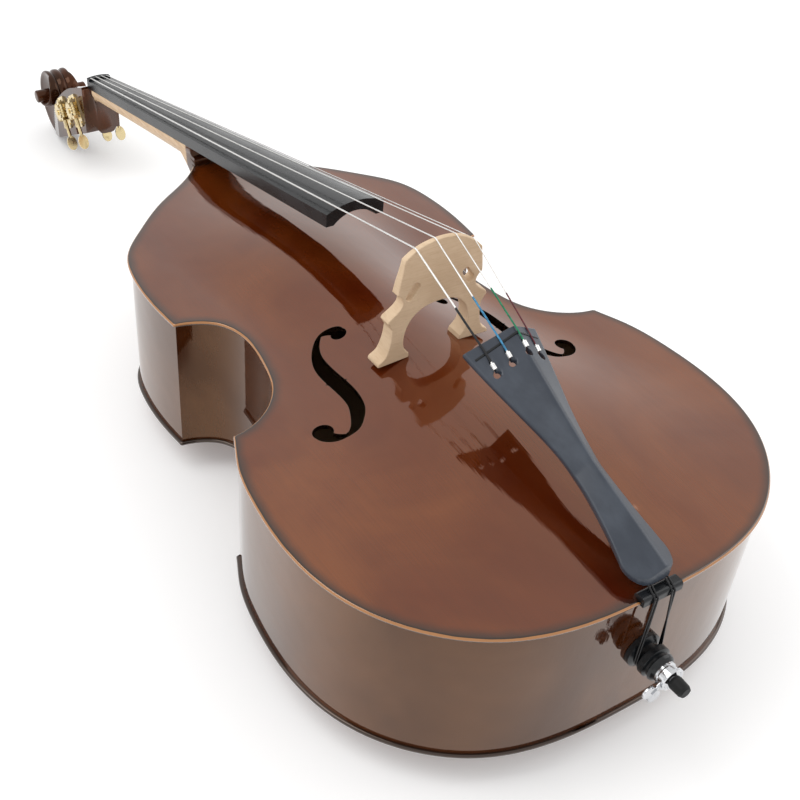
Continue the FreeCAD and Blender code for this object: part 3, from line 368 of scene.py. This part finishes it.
def normals_2d(line, closed=False):
    """Unit normals to the left of a flat line."""
    if closed:
        along = np.roll(line, -1, 0) - np.roll(line, 1, 0)
    else:
        along = np.gradient(line, axis=0)
    along = along / np.linalg.norm(along, axis=1)[:, None]
    return np.column_stack((-along[:, 1], along[:, 0]))


def distance_to(points, line):
    """Distance of flat points to a closed flat line."""
    a, b = line, np.roll(line, -1, 0)
    d = b - a
    length = (d ** 2).sum(1)
    length[length == 0] = 1e-9
    best = np.full(len(points), 1e9)
    for first in range(0, len(points), 2000):
        p = points[first:first + 2000, None, :]
        t = np.clip(((p - a) * d).sum(2) / length, 0, 1)
        gap = p - (a + t[:, :, None] * d)
        best[first:first + 2000] = np.sqrt((gap ** 2).sum(2).min(1))
    return best


def inside(points, line):
    """Whether flat points lie inside a closed flat line."""
    found = np.zeros(len(points), bool)
    for (x0, y0), (x1, y1) in zip(line, np.roll(line, -1, 0)):
        if y0 != y1:
            hit = (y0 > points[:, 1]) != (y1 > points[:, 1])
            at = x0 + (points[:, 1] - y0) * (x1 - x0) / (y1 - y0)
            found ^= hit & (points[:, 0] < at)
    return found


# ------------------------------------------------------------------ meshes
def make_mesh(name, points, faces, material, replaces, slot, sharp, attributes=None):
    """A piece on the main body, from body stations, with edges sharper than an angle left sharp."""
    mesh = bpy.data.meshes.new(name)
    mesh.from_pydata([tuple(p) for p in row(points)], [], [tuple(int(i) for i in f) for f in faces])
    mesh.validate()
    for key, values in (attributes or {}).items():
        layer = mesh.attributes.new(key, "FLOAT", "POINT")
        layer.data.foreach_set("value", np.asarray(values, np.float32))
    finish_piece(name, mesh, material, replaces, sharp)


def finish_piece(name, mesh, material, replaces, sharp):
    mesh.shade_smooth()
    mesh.set_sharp_from_angle(angle=math.radians(sharp))
    item = add_object(name, mesh)
    mesh.materials.append(material)
    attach(item, "body")
    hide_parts(replaces)


# ------------------------------------------------------------------ outline and arching
LENGTH, DEPTH, PLATE, BUTTON, BELLY_RISE, FLAT_CUT = 1090.0, 221.0, 6.0, 24.0, 42.0, 0.12
UPPER = ((36, 1090), (68, 1057), (134, 1009), (197, 950), (240, 897), (256, 840), (260, 770), (256, 713))
WAIST = ((256, 713), (228, 706), (201, 688), (184, 645), (188, 590), (206, 530), (240, 492), (294, 471))
LOWER = ((294, 471), (314, 425), (331, 350), (336, 264), (319, 171), (272, 92), (201, 35), (120, 8), (0, 0))
STEP = 3.0
BOUTS = (curve(UPPER, STEP), curve(WAIST, STEP),
         curve(LOWER, STEP, np.array((0.371, -0.928)), np.array((-1.0, 0.0))))


def closed_outline(button=False):
    """The whole outline, clockwise from the top of the treble side."""
    half = np.vstack([BOUTS[0][:-1], BOUTS[1][:-1], BOUTS[2][:-1]])
    other = (half * (-1, 1))[::-1]
    if button:
        turns = np.linspace(math.pi, 0, 25)
        arc = np.column_stack((BUTTON * np.cos(turns), LENGTH + BUTTON * np.sin(turns)))
        beside = [(x, LENGTH) for x in (-33, -30, -27)]
        top = np.vstack((beside, arc, [(-x, y) for x, y in beside[::-1]]))
    else:
        top = [(x, LENGTH) for x in np.arange(-33.0, 34, 3)]
    return np.vstack((half, ((0, 0),), other, top))


def arch_half_width(y):
    """Half of the arching's width at a station: the bouts, the waist and the two ends."""
    taper = 362 - 0.153 * y
    waist = 95 * np.exp(-((y - 600) / 228) ** 2)
    ends = 150 * np.exp((y - LENGTH) / 90) + 150 * np.exp(-y / 60)
    return np.maximum(taper - waist - ends, 20)


def bulge(x, y, middle, cross_power):
    """Share of the full arching, highest at a middle station."""
    across = np.minimum(np.abs(x) / arch_half_width(y), 1)
    half = np.where(y > middle, LENGTH - 10 - middle, middle - 10)
    along = np.minimum(np.abs(y - middle) / half, 1)
    return (1 - np.sin(math.pi / 2 * along) ** 4) * (1 - np.sin(math.pi / 2 * across) ** cross_power)


def belly_top(x, y):
    return DEPTH + BELLY_RISE * bulge(x, y, LENGTH / 2, 2)


def back_bottom(x, y):
    """Underside of the back, with the small flat that the bass lies on."""
    return np.maximum(-(BACK_RISE + FLAT_CUT) * bulge(x, y, CROWN_Y, 4), -BACK_RISE)


OUTSIDE = ((-67, 578), (-69, 588), (-82, 596), (-99, 596), (-118, 582), (-134, 559), (-143, 535),
           (-146, 503), (-146, 453), (-149, 430), (-158, 409), (-168, 393), (-179, 384))
LOWER_WING = ((-179, 384), (-190, 393), (-194, 400))
INSIDE = ((-219, 404), (-212, 390), (-197, 380), (-179, 378), (-161, 381), (-146, 393), (-133, 410),
          (-126, 430), (-122.5, 453), (-122.5, 503), (-122, 535), (-119, 556), (-112, 573), (-99, 590))
UPPER_WING = ((-99, 590), (-92, 586), (-86, 579))
F_CENTRE, F_SCALE, F_LEAST_STEP = np.array((-134.0, 489.0)), 0.88, 0.7


def eye_arc(centre, radius, start, end):
    """Points of a round eye from near one point to near another, anticlockwise."""
    a0 = math.atan2(start[1] - centre[1], start[0] - centre[0])
    a1 = math.atan2(end[1] - centre[1], end[0] - centre[0])
    while a1 < a0:
        a1 += 2 * math.pi
    count = int((a1 - a0) * radius / 1.5)
    turns = np.linspace(a0, a1, count)
    return np.column_stack((centre[0] + radius * np.cos(turns), centre[1] + radius * np.sin(turns)))


def notched(line, y, deep):
    """A line with the point nearest to a station moved sideways, as a small V."""
    at = int(np.argmin(np.abs(line[:, 1] - y)))
    line = line.copy()
    line[at, 0] += deep
    return line


def f_hole_line():
    """The bass-side f-hole as one closed line: stem, two eyes and two small notches."""
    step = 1.6
    lower_eye = eye_arc((-204, 409), 15.5, (-191, 400.5), (-218, 402))
    upper_eye = eye_arc((-77.5, 575), 12, (-88.5, 580), (-66.5, 580))
    outer = curve(OUTSIDE, step)
    inner = curve(INSIDE, step)
    outer = notched(outer[outer[:, 1] > 386], 493, -3)
    inner = notched(inner[2:-1], 482, 3)
    line = [outer, curve(LOWER_WING, step)[1:-1], lower_eye, inner, curve(UPPER_WING, step)[:-1], upper_eye]
    line = F_CENTRE + (np.vstack(line) - F_CENTRE) * F_SCALE
    keep = [0]
    for i in range(1, len(line)):
        if np.linalg.norm(line[i] - line[keep[-1]]) > F_LEAST_STEP:
            keep.append(i)
    return line[keep]


RING_SHARES = (0.12, 0.35, 0.65, 1.0, 1.5, 2.2)


def flat_mesh(outline, sawn, holes, rounding, grid):
    """Triangles that fill a sawn flat outline round its holes, finest where its edge is rounded."""
    rings = []
    for share in RING_SHARES:
        ring = outline - normals_2d(outline, True) * share * rounding
        good = distance_to(ring, outline) > (share - 0.03) * rounding
        rings.append(ring[good & (distance_to(ring, sawn) > 0.1 * rounding) & inside(ring, sawn)])
    low, high = outline.min(0), outline.max(0)
    ys = np.arange(low[1] + 0.4 * grid, high[1], grid)
    xs = np.arange(low[0] + 0.4 * grid, high[0], grid)
    middle = np.array([(x + (grid / 2 if k % 2 else 0), y) for k, y in enumerate(ys) for x in xs])
    middle = middle[inside(middle, outline)]
    middle = middle[distance_to(middle, outline) > RING_SHARES[-1] * rounding + grid * 0.45]
    middle = middle[distance_to(middle, sawn) > 0.3 * grid]
    for hole in holes:
        middle = middle[(distance_to(middle, hole) > 0.4 * grid) & ~inside(middle, hole)]
        ring = hole + normals_2d(hole, True) * 0.2 * grid
        other = hole - normals_2d(hole, True) * 0.2 * grid
        for some in (ring, other):
            good = (distance_to(some, hole) > 0.18 * grid) & ~inside(some, hole)
            rings.append(some[good & (distance_to(some, outline) > 0.5 * rounding)])
    flat = np.vstack([sawn] + list(holes) + rings + [middle])
    edges, first = [], 0
    for loop in [sawn] + list(holes):
        count = len(loop)
        edges += [(first + i, first + (i + 1) % count) for i in range(count)]
        first += count
    made = delaunay_2d_cdt([Vector(p) for p in flat], edges, [], 0, 1e-4)
    flat = np.array([tuple(v) for v in made[0]])
    faces = np.array([f for f in made[2] if len(f) == 3])
    centres = flat[faces].mean(1)
    keep = inside(centres, sawn)
    for hole in holes:
        keep &= ~inside(centres, hole)
    faces = faces[keep]
    used = np.unique(faces)
    renumber = np.full(len(flat), -1)
    renumber[used] = np.arange(len(used))
    flat, faces = flat[used], renumber[faces]
    a, b = flat[faces[:, 1]] - flat[faces[:, 0]], flat[faces[:, 2]] - flat[faces[:, 0]]
    clockwise = a[:, 0] * b[:, 1] - a[:, 1] * b[:, 0] < 0
    faces[clockwise] = faces[clockwise][:, ::-1]
    return flat, faces


def rounded(inset, radius):
    """How far a surface has dropped at a distance from its rounded edge."""
    left = radius - np.minimum(inset, radius)
    return radius - np.sqrt(np.maximum(radius ** 2 - left ** 2, 0))


FAR = 99.0


def slab(name, outline, holes, under, over, rounding, material, grid, sawn=None, upright=False,
         hole_rounding=0.0, inner=None, **extra):
    """A plate between two surfaces with rounded edges, cut at the sawn outline, which may have a notch.
    An upright one is drawn in x and z, and its surfaces are stations y. Its points carry their
    distance to the edge and to the holes, and whether they are on the bare inner surface."""
    flat, faces = flat_mesh(outline, outline if sawn is None else sawn, holes, rounding, grid)
    inset = distance_to(flat, outline)
    to_hole = np.min([np.full(len(flat), FAR)] + [distance_to(flat, hole) for hole in holes], axis=0)
    indoors = (inset > 14) & (to_hole > 0.5)
    dip = rounded(inset, rounding)
    if hole_rounding:
        dip = np.maximum(dip, rounded(to_hole, hole_rounding))
    u, v = flat[:, 0], flat[:, 1]
    high, low = over(u, v) - dip, under(u, v) + dip
    count = len(flat)
    rim = {}
    for tri in faces:
        for i in range(3):
            a, b = int(tri[i]), int(tri[(i + 1) % 3])
            if rim.pop((b, a), None) is None:
                rim[(a, b)] = True
    walls = [(b, a, a + count, b + count) for a, b in rim]
    shown = [tuple(f) for f in faces] + [tuple(f[::-1] + count) for f in faces] + walls
    points = np.vstack((np.column_stack((u, v, high)), np.column_stack((u, v, low))))
    if upright:
        points = points[:, (0, 2, 1)]
        shown = [f[::-1] for f in shown]
    bare = [indoors & (inner == face) for face in ("over", "under")]
    attributes = {"edge": np.concatenate((inset, inset + 3.0)), "hole": np.concatenate((to_hole, to_hole)),
                  "bare": np.concatenate(bare)}
    make_mesh(name, points, shown, material, attributes=attributes, sharp=40, **extra)


def with_saddle_notch(outline):
    """The belly's outline with the saddle's rectangle cut out of its lower edge."""
    under = (np.abs(outline[:, 0]) < 30.2) & (outline[:, 1] < 20)
    first = int(np.argmax(under))
    count = int(under.sum())
    y = outline[first - 1, 1]
    return np.vstack((outline[:first], ((30, y), (30, 13), (10, 13), (-10, 13), (-30, 13), (-30, y)),
                      outline[first + count:]))


def make_plates():
    f_bass = f_hole_line()
    f_treble = (f_bass * (-1, 1))[::-1]
    outline = closed_outline()
    slab("belly_varnished", outline, (f_bass, f_treble), lambda x, y: belly_top(x, y) - PLATE, belly_top, 2.9,
         varnish("belly_varnish", (0.055, 0.006, 0.001), (0.09, 0.014, 0.002), (0.145, 0.030, 0.004)), 6.0,
         sawn=with_saddle_notch(outline), inner="under", replaces="belly", slot="stained_spruce")
    slab("back_varnished", closed_outline(True), (), back_bottom, lambda x, y: back_bottom(x, y) + PLATE, 2.9,
         varnish("back_varnish", (0.045, 0.008, 0.002), (0.07, 0.014, 0.003), (0.10, 0.022, 0.005),
                 worn=False),
         9.0, inner="over", replaces="back", slot="stained_ribs")


# ------------------------------------------------------------------ bridge and tailpiece
BRIDGE_FACE, FOOT_THICK, TOP_THICK, TAPER_FROM, TAPER_TO = 461.5, 26.0, 6.0, 262, 440
BRIDGE_SIDE = ((87.5, 256.5), (87, 262), (80, 267), (73.5, 279), (70.5, 298), (70.5, 311), (77.5, 323),
               (76, 327), (60.5, 339.5), (57, 346), (58.5, 354), (65.5, 361), (64, 375), (61.5, 390))
BRIDGE_CROWN = ((-59, 410), (-43, 421.6), (-15, 428.8), (16, 427), (47, 411.2), (60, 399))
BRIDGE_ARCH = ((40, 259), (41, 266), (50, 280), (50.5, 295), (46, 311), (35, 325), (20, 332.5), (0, 335))


def spaced(line, step):
    """A line through corners with more points along its straight runs."""
    return np.vstack([curve(line[i:i + 2], step)[:-1] for i in range(len(line) - 1)] + [line[-1:]])


def bridge_outline():
    """Clockwise from the outer corner of the bass foot."""
    step = 1.3
    side = np.array(BRIDGE_SIDE, float)
    foot, wing = curve(side[:6], step), spaced(side[5:8], step)
    hip = curve(side[7:12], step)
    flank = curve(side[11:], step)
    right_up = np.vstack((foot[:-1], wing[:-1], hip[:-1], flank))
    left_up = right_up * (-1, 1)
    crown = curve(BRIDGE_CROWN, step)
    left_up = np.vstack((left_up, curve((left_up[-1], crown[0]), step)[1:-1]))
    right_down = np.vstack((curve((crown[-1], right_up[-1]), step)[1:], right_up[::-1][1:]))
    arch = np.array(BRIDGE_ARCH, float)
    half = np.vstack((curve(arch[:2], step)[:-1], curve(arch[1:], step)))
    under = np.vstack((half, (half * (-1, 1))[::-1][1:]))
    sole_right = curve(((87.5, 256.5), (40, 259)), step)[1:-1]
    sole_left = curve(((-40, 259), (-87.5, 256.5)), step)[1:-1]
    return np.vstack((left_up, crown, right_down, sole_right, under, sole_left))


def slanting_slot(side):
    """Rounded slot, 26 by 11, whose top leans towards the middle of the bridge."""
    corner, half_wide, half_high = 4.0, 5.5, 13.0
    points = []
    for quarter, (sx, sz) in enumerate(((1, 1), (-1, 1), (-1, -1), (1, -1))):
        for turn in np.radians(np.linspace(90 * quarter, 90 * quarter + 90, 6)):
            points.append((sx * (half_wide - corner) + corner * math.cos(turn),
                           sz * (half_high - corner) + corner * math.sin(turn)))
    points = np.array(points)
    lean = math.radians(33) * side
    turned = np.column_stack((points[:, 0] * math.cos(lean) - points[:, 1] * math.sin(lean),
                              points[:, 0] * math.sin(lean) + points[:, 1] * math.cos(lean)))
    return turned + (side * 43.0, 361.0)


def make_bridge():
    """Flat on the tailpiece's side, and thinner towards its top on the neck's side."""
    def neck_face(x, z):
        share = np.clip((z - TAPER_FROM) / (TAPER_TO - TAPER_FROM), 0, 1)
        return BRIDGE_FACE + FOOT_THICK + share * (TOP_THICK - FOOT_THICK)

    slab("bridge_carved", bridge_outline(), (slanting_slot(1), slanting_slot(-1)),
         lambda x, z: np.full(len(x), BRIDGE_FACE), neck_face, 1.5, bridge_wood(), 2.6, upright=True,
         hole_rounding=0.9, replaces="bridge", slot="bridge_maple")


TAIL_WIDTHS = ((336, 55), (296, 47), (257, 38), (223, 30), (165, 20.5), (115, 21.5), (75, 26.5), (45, 32))
TAIL_END = ((-32, 45), (-30, 22), (-18, 10), (0, 8), (18, 10), (30, 22), (32, 45))
TAIL_HALVES = ((6, 34), (60, 31), (150, 21), (223, 31), (338, 56))
TAIL_HOLLOW = (0.02, 0.02, 0.6, 0.9, 0.9)
TAIL_STRINGS = tuple(0.98 * x for x in (-34, -12, 12, 34))
TAIL_LOW_Y, TAIL_WAIST_Y, TAIL_TOP_Y = 8.0, 150.0, 336.0
TAIL_LOW_Z, TAIL_CLIMB, TAIL_THICK = 237, 115, 6.5


def tail_edge_z(y):
    return TAIL_LOW_Z + TAIL_CLIMB * (y - TAIL_LOW_Y) / (TAIL_TOP_Y - TAIL_LOW_Y)


def tail_ridge(y):
    """Height of the ridge above the edges, which grows from the waist to the top."""
    return 16 + 12 * np.maximum(0, (y - TAIL_WAIST_Y) / (TAIL_TOP_Y - TAIL_WAIST_Y))


def tail_roof(x, y):
    """Height of the tailpiece's roof above its edges, as a share of its ridge's height."""
    softness = 2.5
    half = np.interp(y, *zip(*TAIL_HALVES))
    ridge_x = 0.2 * half
    run = np.where(x > ridge_x, half - ridge_x, half + ridge_x)
    return 1 - np.minimum((np.sqrt((x - ridge_x) ** 2 + softness ** 2) - softness) / run, 1)


def make_tailpiece():
    step = 1.6
    right = curve([(w, y) for y, w in TAIL_WIDTHS], step)
    end = curve(TAIL_END, step)[::-1]
    left = (right * (-1, 1))[::-1]
    top = spaced(np.array(((-55, 336), (11, 329), (55, 336)), float), step)
    outline = np.vstack((right[:-1], end[:-1], left[:-1], top[:-1]))
    holes = []
    for x in TAIL_STRINGS:
        y, radius, slit_half, slit_long = TAIL_TOP_Y - 42, 5, 1.5, 18
        turns = np.linspace(math.pi / 2 + 0.3, 2.5 * math.pi - 0.3, 26)
        ring = np.column_stack((x + radius * np.cos(turns), y + radius * np.sin(turns)))
        levels = np.arange(y + 6, y + slit_long, 2)
        right_side = [(x + slit_half, level) for level in levels]
        left_side = [(x - slit_half, level) for level in levels[::-1]]
        holes.append(np.vstack((ring, right_side, [(x, y + slit_long)], left_side)))

    def over(x, y):
        return tail_edge_z(y) + tail_ridge(y) * tail_roof(x, y)

    def under(x, y):
        share = np.interp(y, [y for y, half in TAIL_HALVES], TAIL_HOLLOW)
        return tail_edge_z(y) - TAIL_THICK + tail_ridge(y) * share * tail_roof(x, y)

    slab("tailpiece_moulded", outline, holes, under, over, 1.8,
         satin("tail_black", (0.026, 0.033, 0.047), (0.042, 0.052, 0.070), 0.33), 3.0,
         hole_rounding=0.6, replaces="tailpiece", slot="tail_black")


# ------------------------------------------------------------------ ribs
def crossing(first, second):
    """Where two flat lines cross, and the segments that do."""
    for i in range(len(first) - 1, 0, -1):
        a, b = first[i - 1], first[i]
        c, d = second[:-1], second[1:]
        r, s = b - a, d - c
        bottom = r[0] * s[:, 1] - r[1] * s[:, 0]
        bottom[bottom == 0] = 1e-12
        t = ((c - a)[:, 0] * s[:, 1] - (c - a)[:, 1] * s[:, 0]) / bottom
        u = ((c - a)[:, 0] * r[1] - (c - a)[:, 1] * r[0]) / bottom
        hits = np.where((t >= 0) & (t <= 1) & (u >= 0) & (u <= 1))[0]
        if len(hits):
            return i, int(hits[0]), a + t[hits[0]] * r
    raise ValueError("the lines do not cross")


def rib_lines(inset):
    """The three bouts of the treble side moved inwards and cut where they cross."""
    moved = [line - normals_2d(line) * inset for line in BOUTS]
    for k in (0, 1):
        i, j, at = crossing(moved[k], moved[k + 1])
        moved[k] = np.vstack((moved[k][:i], [at]))
        moved[k + 1] = np.vstack(([at], moved[k + 1][j + 1:]))
    return moved


def make_ribs():
    wood = varnish("rib_varnish", (0.035, 0.008, 0.002), (0.055, 0.014, 0.003), (0.09, 0.026, 0.006),
                   edge=False, coat=0.62, sheens=((0.62, 0.34, 0.15), (1.0, 0.60, 0.30)))
    levels = np.linspace(PLATE - 0.2, DEPTH - PLATE + 0.2, 5)
    outer, inner = rib_lines(5.0), rib_lines(8.0)
    for side, name in ((1, "treble_side"), (-1, "bass_side")):
        for k, bout in enumerate(("upper", "middle", "lower")):
            line = outer[k]
            share, spots = np.linspace(0, 1, len(line)), np.linspace(0, 1, len(inner[k]))
            lining = np.column_stack([np.interp(share, spots, inner[k][:, a]) for a in (0, 1)])
            points = [(side * x, y, level) for face in (line, lining) for level in levels for x, y in face]
            faces = rib_faces(len(line), len(levels))
            if side > 0:
                faces = [f[::-1] for f in faces]
            label = "%s_rib_%s" % (bout, name)
            make_mesh(label + "_varnished", points, faces, wood, replaces=label, slot="stained_ribs",
                      sharp=30)


def rib_faces(count, rows):
    """Faces of a bent board: both sides, then its lower and upper edges, then its two ends."""
    faces, behind = [], rows * count
    for r in range(rows - 1):
        for i in range(count - 1):
            a = r * count + i
            b = a + behind
            faces += [(a, a + 1, a + 1 + count, a + count), (b + count, b + count + 1, b + 1, b)]
    for i in range(count - 1):
        a = (rows - 1) * count + i
        faces += [(i + 1, i, i + behind, i + behind + 1), (a, a + 1, a + 1 + behind, a + behind)]
    for r in range(rows - 1):
        a, b = r * count, r * count + count - 1
        faces += [(a, a + count, a + count + behind, a + behind),
                  (b + behind, b + count + behind, b + count, b)]
    return faces


# ------------------------------------------------------------------ head
SCROLL_Y, SCROLL_Z, SCROLL_RADIUS, SCROLL_RATE = 1763.0, 41.0, 83.0, 0.235
SCROLL_HALF, EYE_HALF, EYE_RADIUS, FLUTE_X = 21.0, 52.0, 12.0, 9.0
SCROLL_TURN = 2.85 * math.pi
EYE_LATHE = ((0, EYE_HALF), (5, EYE_HALF), (9.5, EYE_HALF - 0.2), (11.4, EYE_HALF - 1.0),
             (EYE_RADIUS, EYE_HALF - 2.4), (EYE_RADIUS, EYE_HALF - 14), (EYE_RADIUS, 0))


def carved_neck(wood):
    """The neck and pegbox of the CAD piece, without its scroll."""
    graph = bmesh.new()
    graph.from_mesh(nodes["neck"].data)
    bmesh.ops.remove_doubles(graph, verts=graph.verts, dist=1e-5)
    cut_at = row([(0, SCROLL_Y - 5, 0)])[0]
    bmesh.ops.bisect_plane(graph, geom=graph.verts[:] + graph.edges[:] + graph.faces[:], dist=1e-6,
                           plane_co=cut_at, plane_no=(0, 1, 0), clear_outer=True)
    found, waiting = set(), [min(graph.verts, key=lambda v: v.co.y)]
    while waiting:
        vert = waiting.pop()
        if vert not in found:
            found.add(vert)
            waiting += [edge.other_vert(vert) for edge in vert.link_edges]
    bmesh.ops.delete(graph, geom=[v for v in graph.verts if v not in found], context="VERTS")
    bmesh.ops.holes_fill(graph, edges=[e for e in graph.edges if e.is_boundary], sides=0)
    mesh = bpy.data.meshes.new("neck_carved")
    graph.to_mesh(mesh)
    graph.free()
    finish_piece("neck_carved", mesh, wood, "neck", 30)


def scroll_radius(turned):
    """Radius of the spiral after a turn from the throat, in radians."""
    return SCROLL_RADIUS * math.exp(-SCROLL_RATE * max(turned, 0))


def scroll_half(turned):
    """Half width of the spiral, from the back of the pegbox out to the eyes."""
    share = np.clip((turned / math.pi - 1.0) / 1.85, 0, 1)
    return SCROLL_HALF + (EYE_HALF - SCROLL_HALF) * share ** 0.62


def scroll_profile(turned):
    """One side of the spiral's section, as pairs of half width and radius, from its middle inwards."""
    radius, half = scroll_radius(turned), scroll_half(turned)
    inner = max(scroll_radius(turned + 2 * math.pi) - 1.0, 4.0)
    depth = 4.0 * float(np.clip((2.0 * math.pi - turned) / (0.5 * math.pi), 0, 1))
    profile = []
    for x in (0, 3, 5, 7, 9, 11, 13, 15, 17.5):
        flute = math.exp(-((x - FLUTE_X) / 3.6) ** 2)
        profile.append((x, radius - depth * flute))
    profile += [(half - 2, radius), (half - 0.7, radius - 0.6), (half, radius - 2)]
    ridge = radius - min(5.0, 0.25 * radius)
    profile.append((half, ridge))
    for share in (0.08, 0.25, 0.5, 0.75, 1.0):
        profile.append((half - 6.0 * share ** 0.7, ridge + (inner - ridge) * share))
    return profile


def scroll_point(x, radius, turn):
    return x, SCROLL_Y + radius * math.cos(turn), SCROLL_Z + radius * math.sin(turn)


def make_scroll(wood):
    """The spiral as a strip of sections from the throat inwards, and the eyes as one turned piece."""
    points, faces = [], []
    turns = np.linspace(-0.06, SCROLL_TURN, 270)
    for turned in turns:
        profile = scroll_profile(turned)
        section = [(-x, r) for x, r in profile[:0:-1]] + profile
        points += [scroll_point(x, r, turned - math.pi / 2) for x, r in section]
    count = len(section)
    for i in range(len(turns) - 1):
        for k in range(count):
            a, b = i * count + k, i * count + (k + 1) % count
            faces.append((a, a + count, b + count, b))
    last = (len(turns) - 1) * count
    faces += [tuple(range(count)), tuple(range(last, last + count))[::-1]]
    make_mesh("scroll_carved", points, faces, wood, replaces="neck", slot="neck_maple", sharp=50)

    profile = [(x, r) for r, x in EYE_LATHE] + [(-x, r) for r, x in EYE_LATHE[-2::-1]]
    around = 40
    points = [scroll_point(x, r, 2 * math.pi * k / around) for x, r in profile for k in range(around)]
    faces = []
    for i in range(len(profile) - 1):
        for k in range(around):
            a, b = i * around + k, i * around + (k + 1) % around
            faces.append((a, b, b + around, a + around))
    make_mesh("scroll_eyes", points, faces, wood, replaces="neck", slot="neck_maple", sharp=50)


# ------------------------------------------------------------------ finishes of the CAD pieces
def paint_frame():
    bare = plain_wood("bare_wood", (0.48, 0.33, 0.19), (0.62, 0.46, 0.28))
    ebony = satin("ebonised", (0.004, 0.005, 0.006), (0.009, 0.010, 0.012), 0.24, shine=0.4)
    brass = metal("tuner_brass", (0.80, 0.66, 0.38), (0.30, 0.21, 0.09), 0.16)
    chrome = metal("chrome", (0.66, 0.67, 0.69), (0.42, 0.43, 0.45), 0.10)
    rod = metal("rod_steel", (0.66, 0.66, 0.67), (0.5, 0.5, 0.52), 0.2)
    cable = satin("tail_cable", (0.004, 0.004, 0.005), (0.008, 0.008, 0.009), 0.22, shine=0.35)
    rubber = satin("rubber", (0.004, 0.004, 0.004), (0.008, 0.008, 0.008), 0.55, 0.0002, shine=0.3)
    finish = {"tail_wire": cable, "endpin_collar": chrome, "endpin_thumbscrew": chrome,
              "endpin_rod": rod, "endpin_tip": rubber}
    for name in ("fingerboard", "nut", "tailpiece_fret", "saddle", "endpin_plug"):
        finish[name] = ebony
    silks = {"e": (0.012, 0.012, 0.014), "a": (0.06, 0.28, 0.50),
             "d": (0.01, 0.22, 0.10), "g": (0.14, 0.02, 0.03)}
    for key, silk in silks.items():
        finish["string_" + key] = wound_string("string_" + key + "_winding", silk)
        for part in ("tuner_plate_", "tuner_screws_", "tuner_gear_", "string_roller_", "tuner_key_"):
            finish[part + key] = brass
    for name, item in nodes.items():
        item.data.materials.clear()
        item.data.materials.append(finish.get(name, bare))


make_camera()
make_studio()
paint_frame()
make_plates()
make_ribs()
make_bridge()
make_tailpiece()
neck_wood = zoned_neck()
carved_neck(neck_wood)
make_scroll(neck_wood)
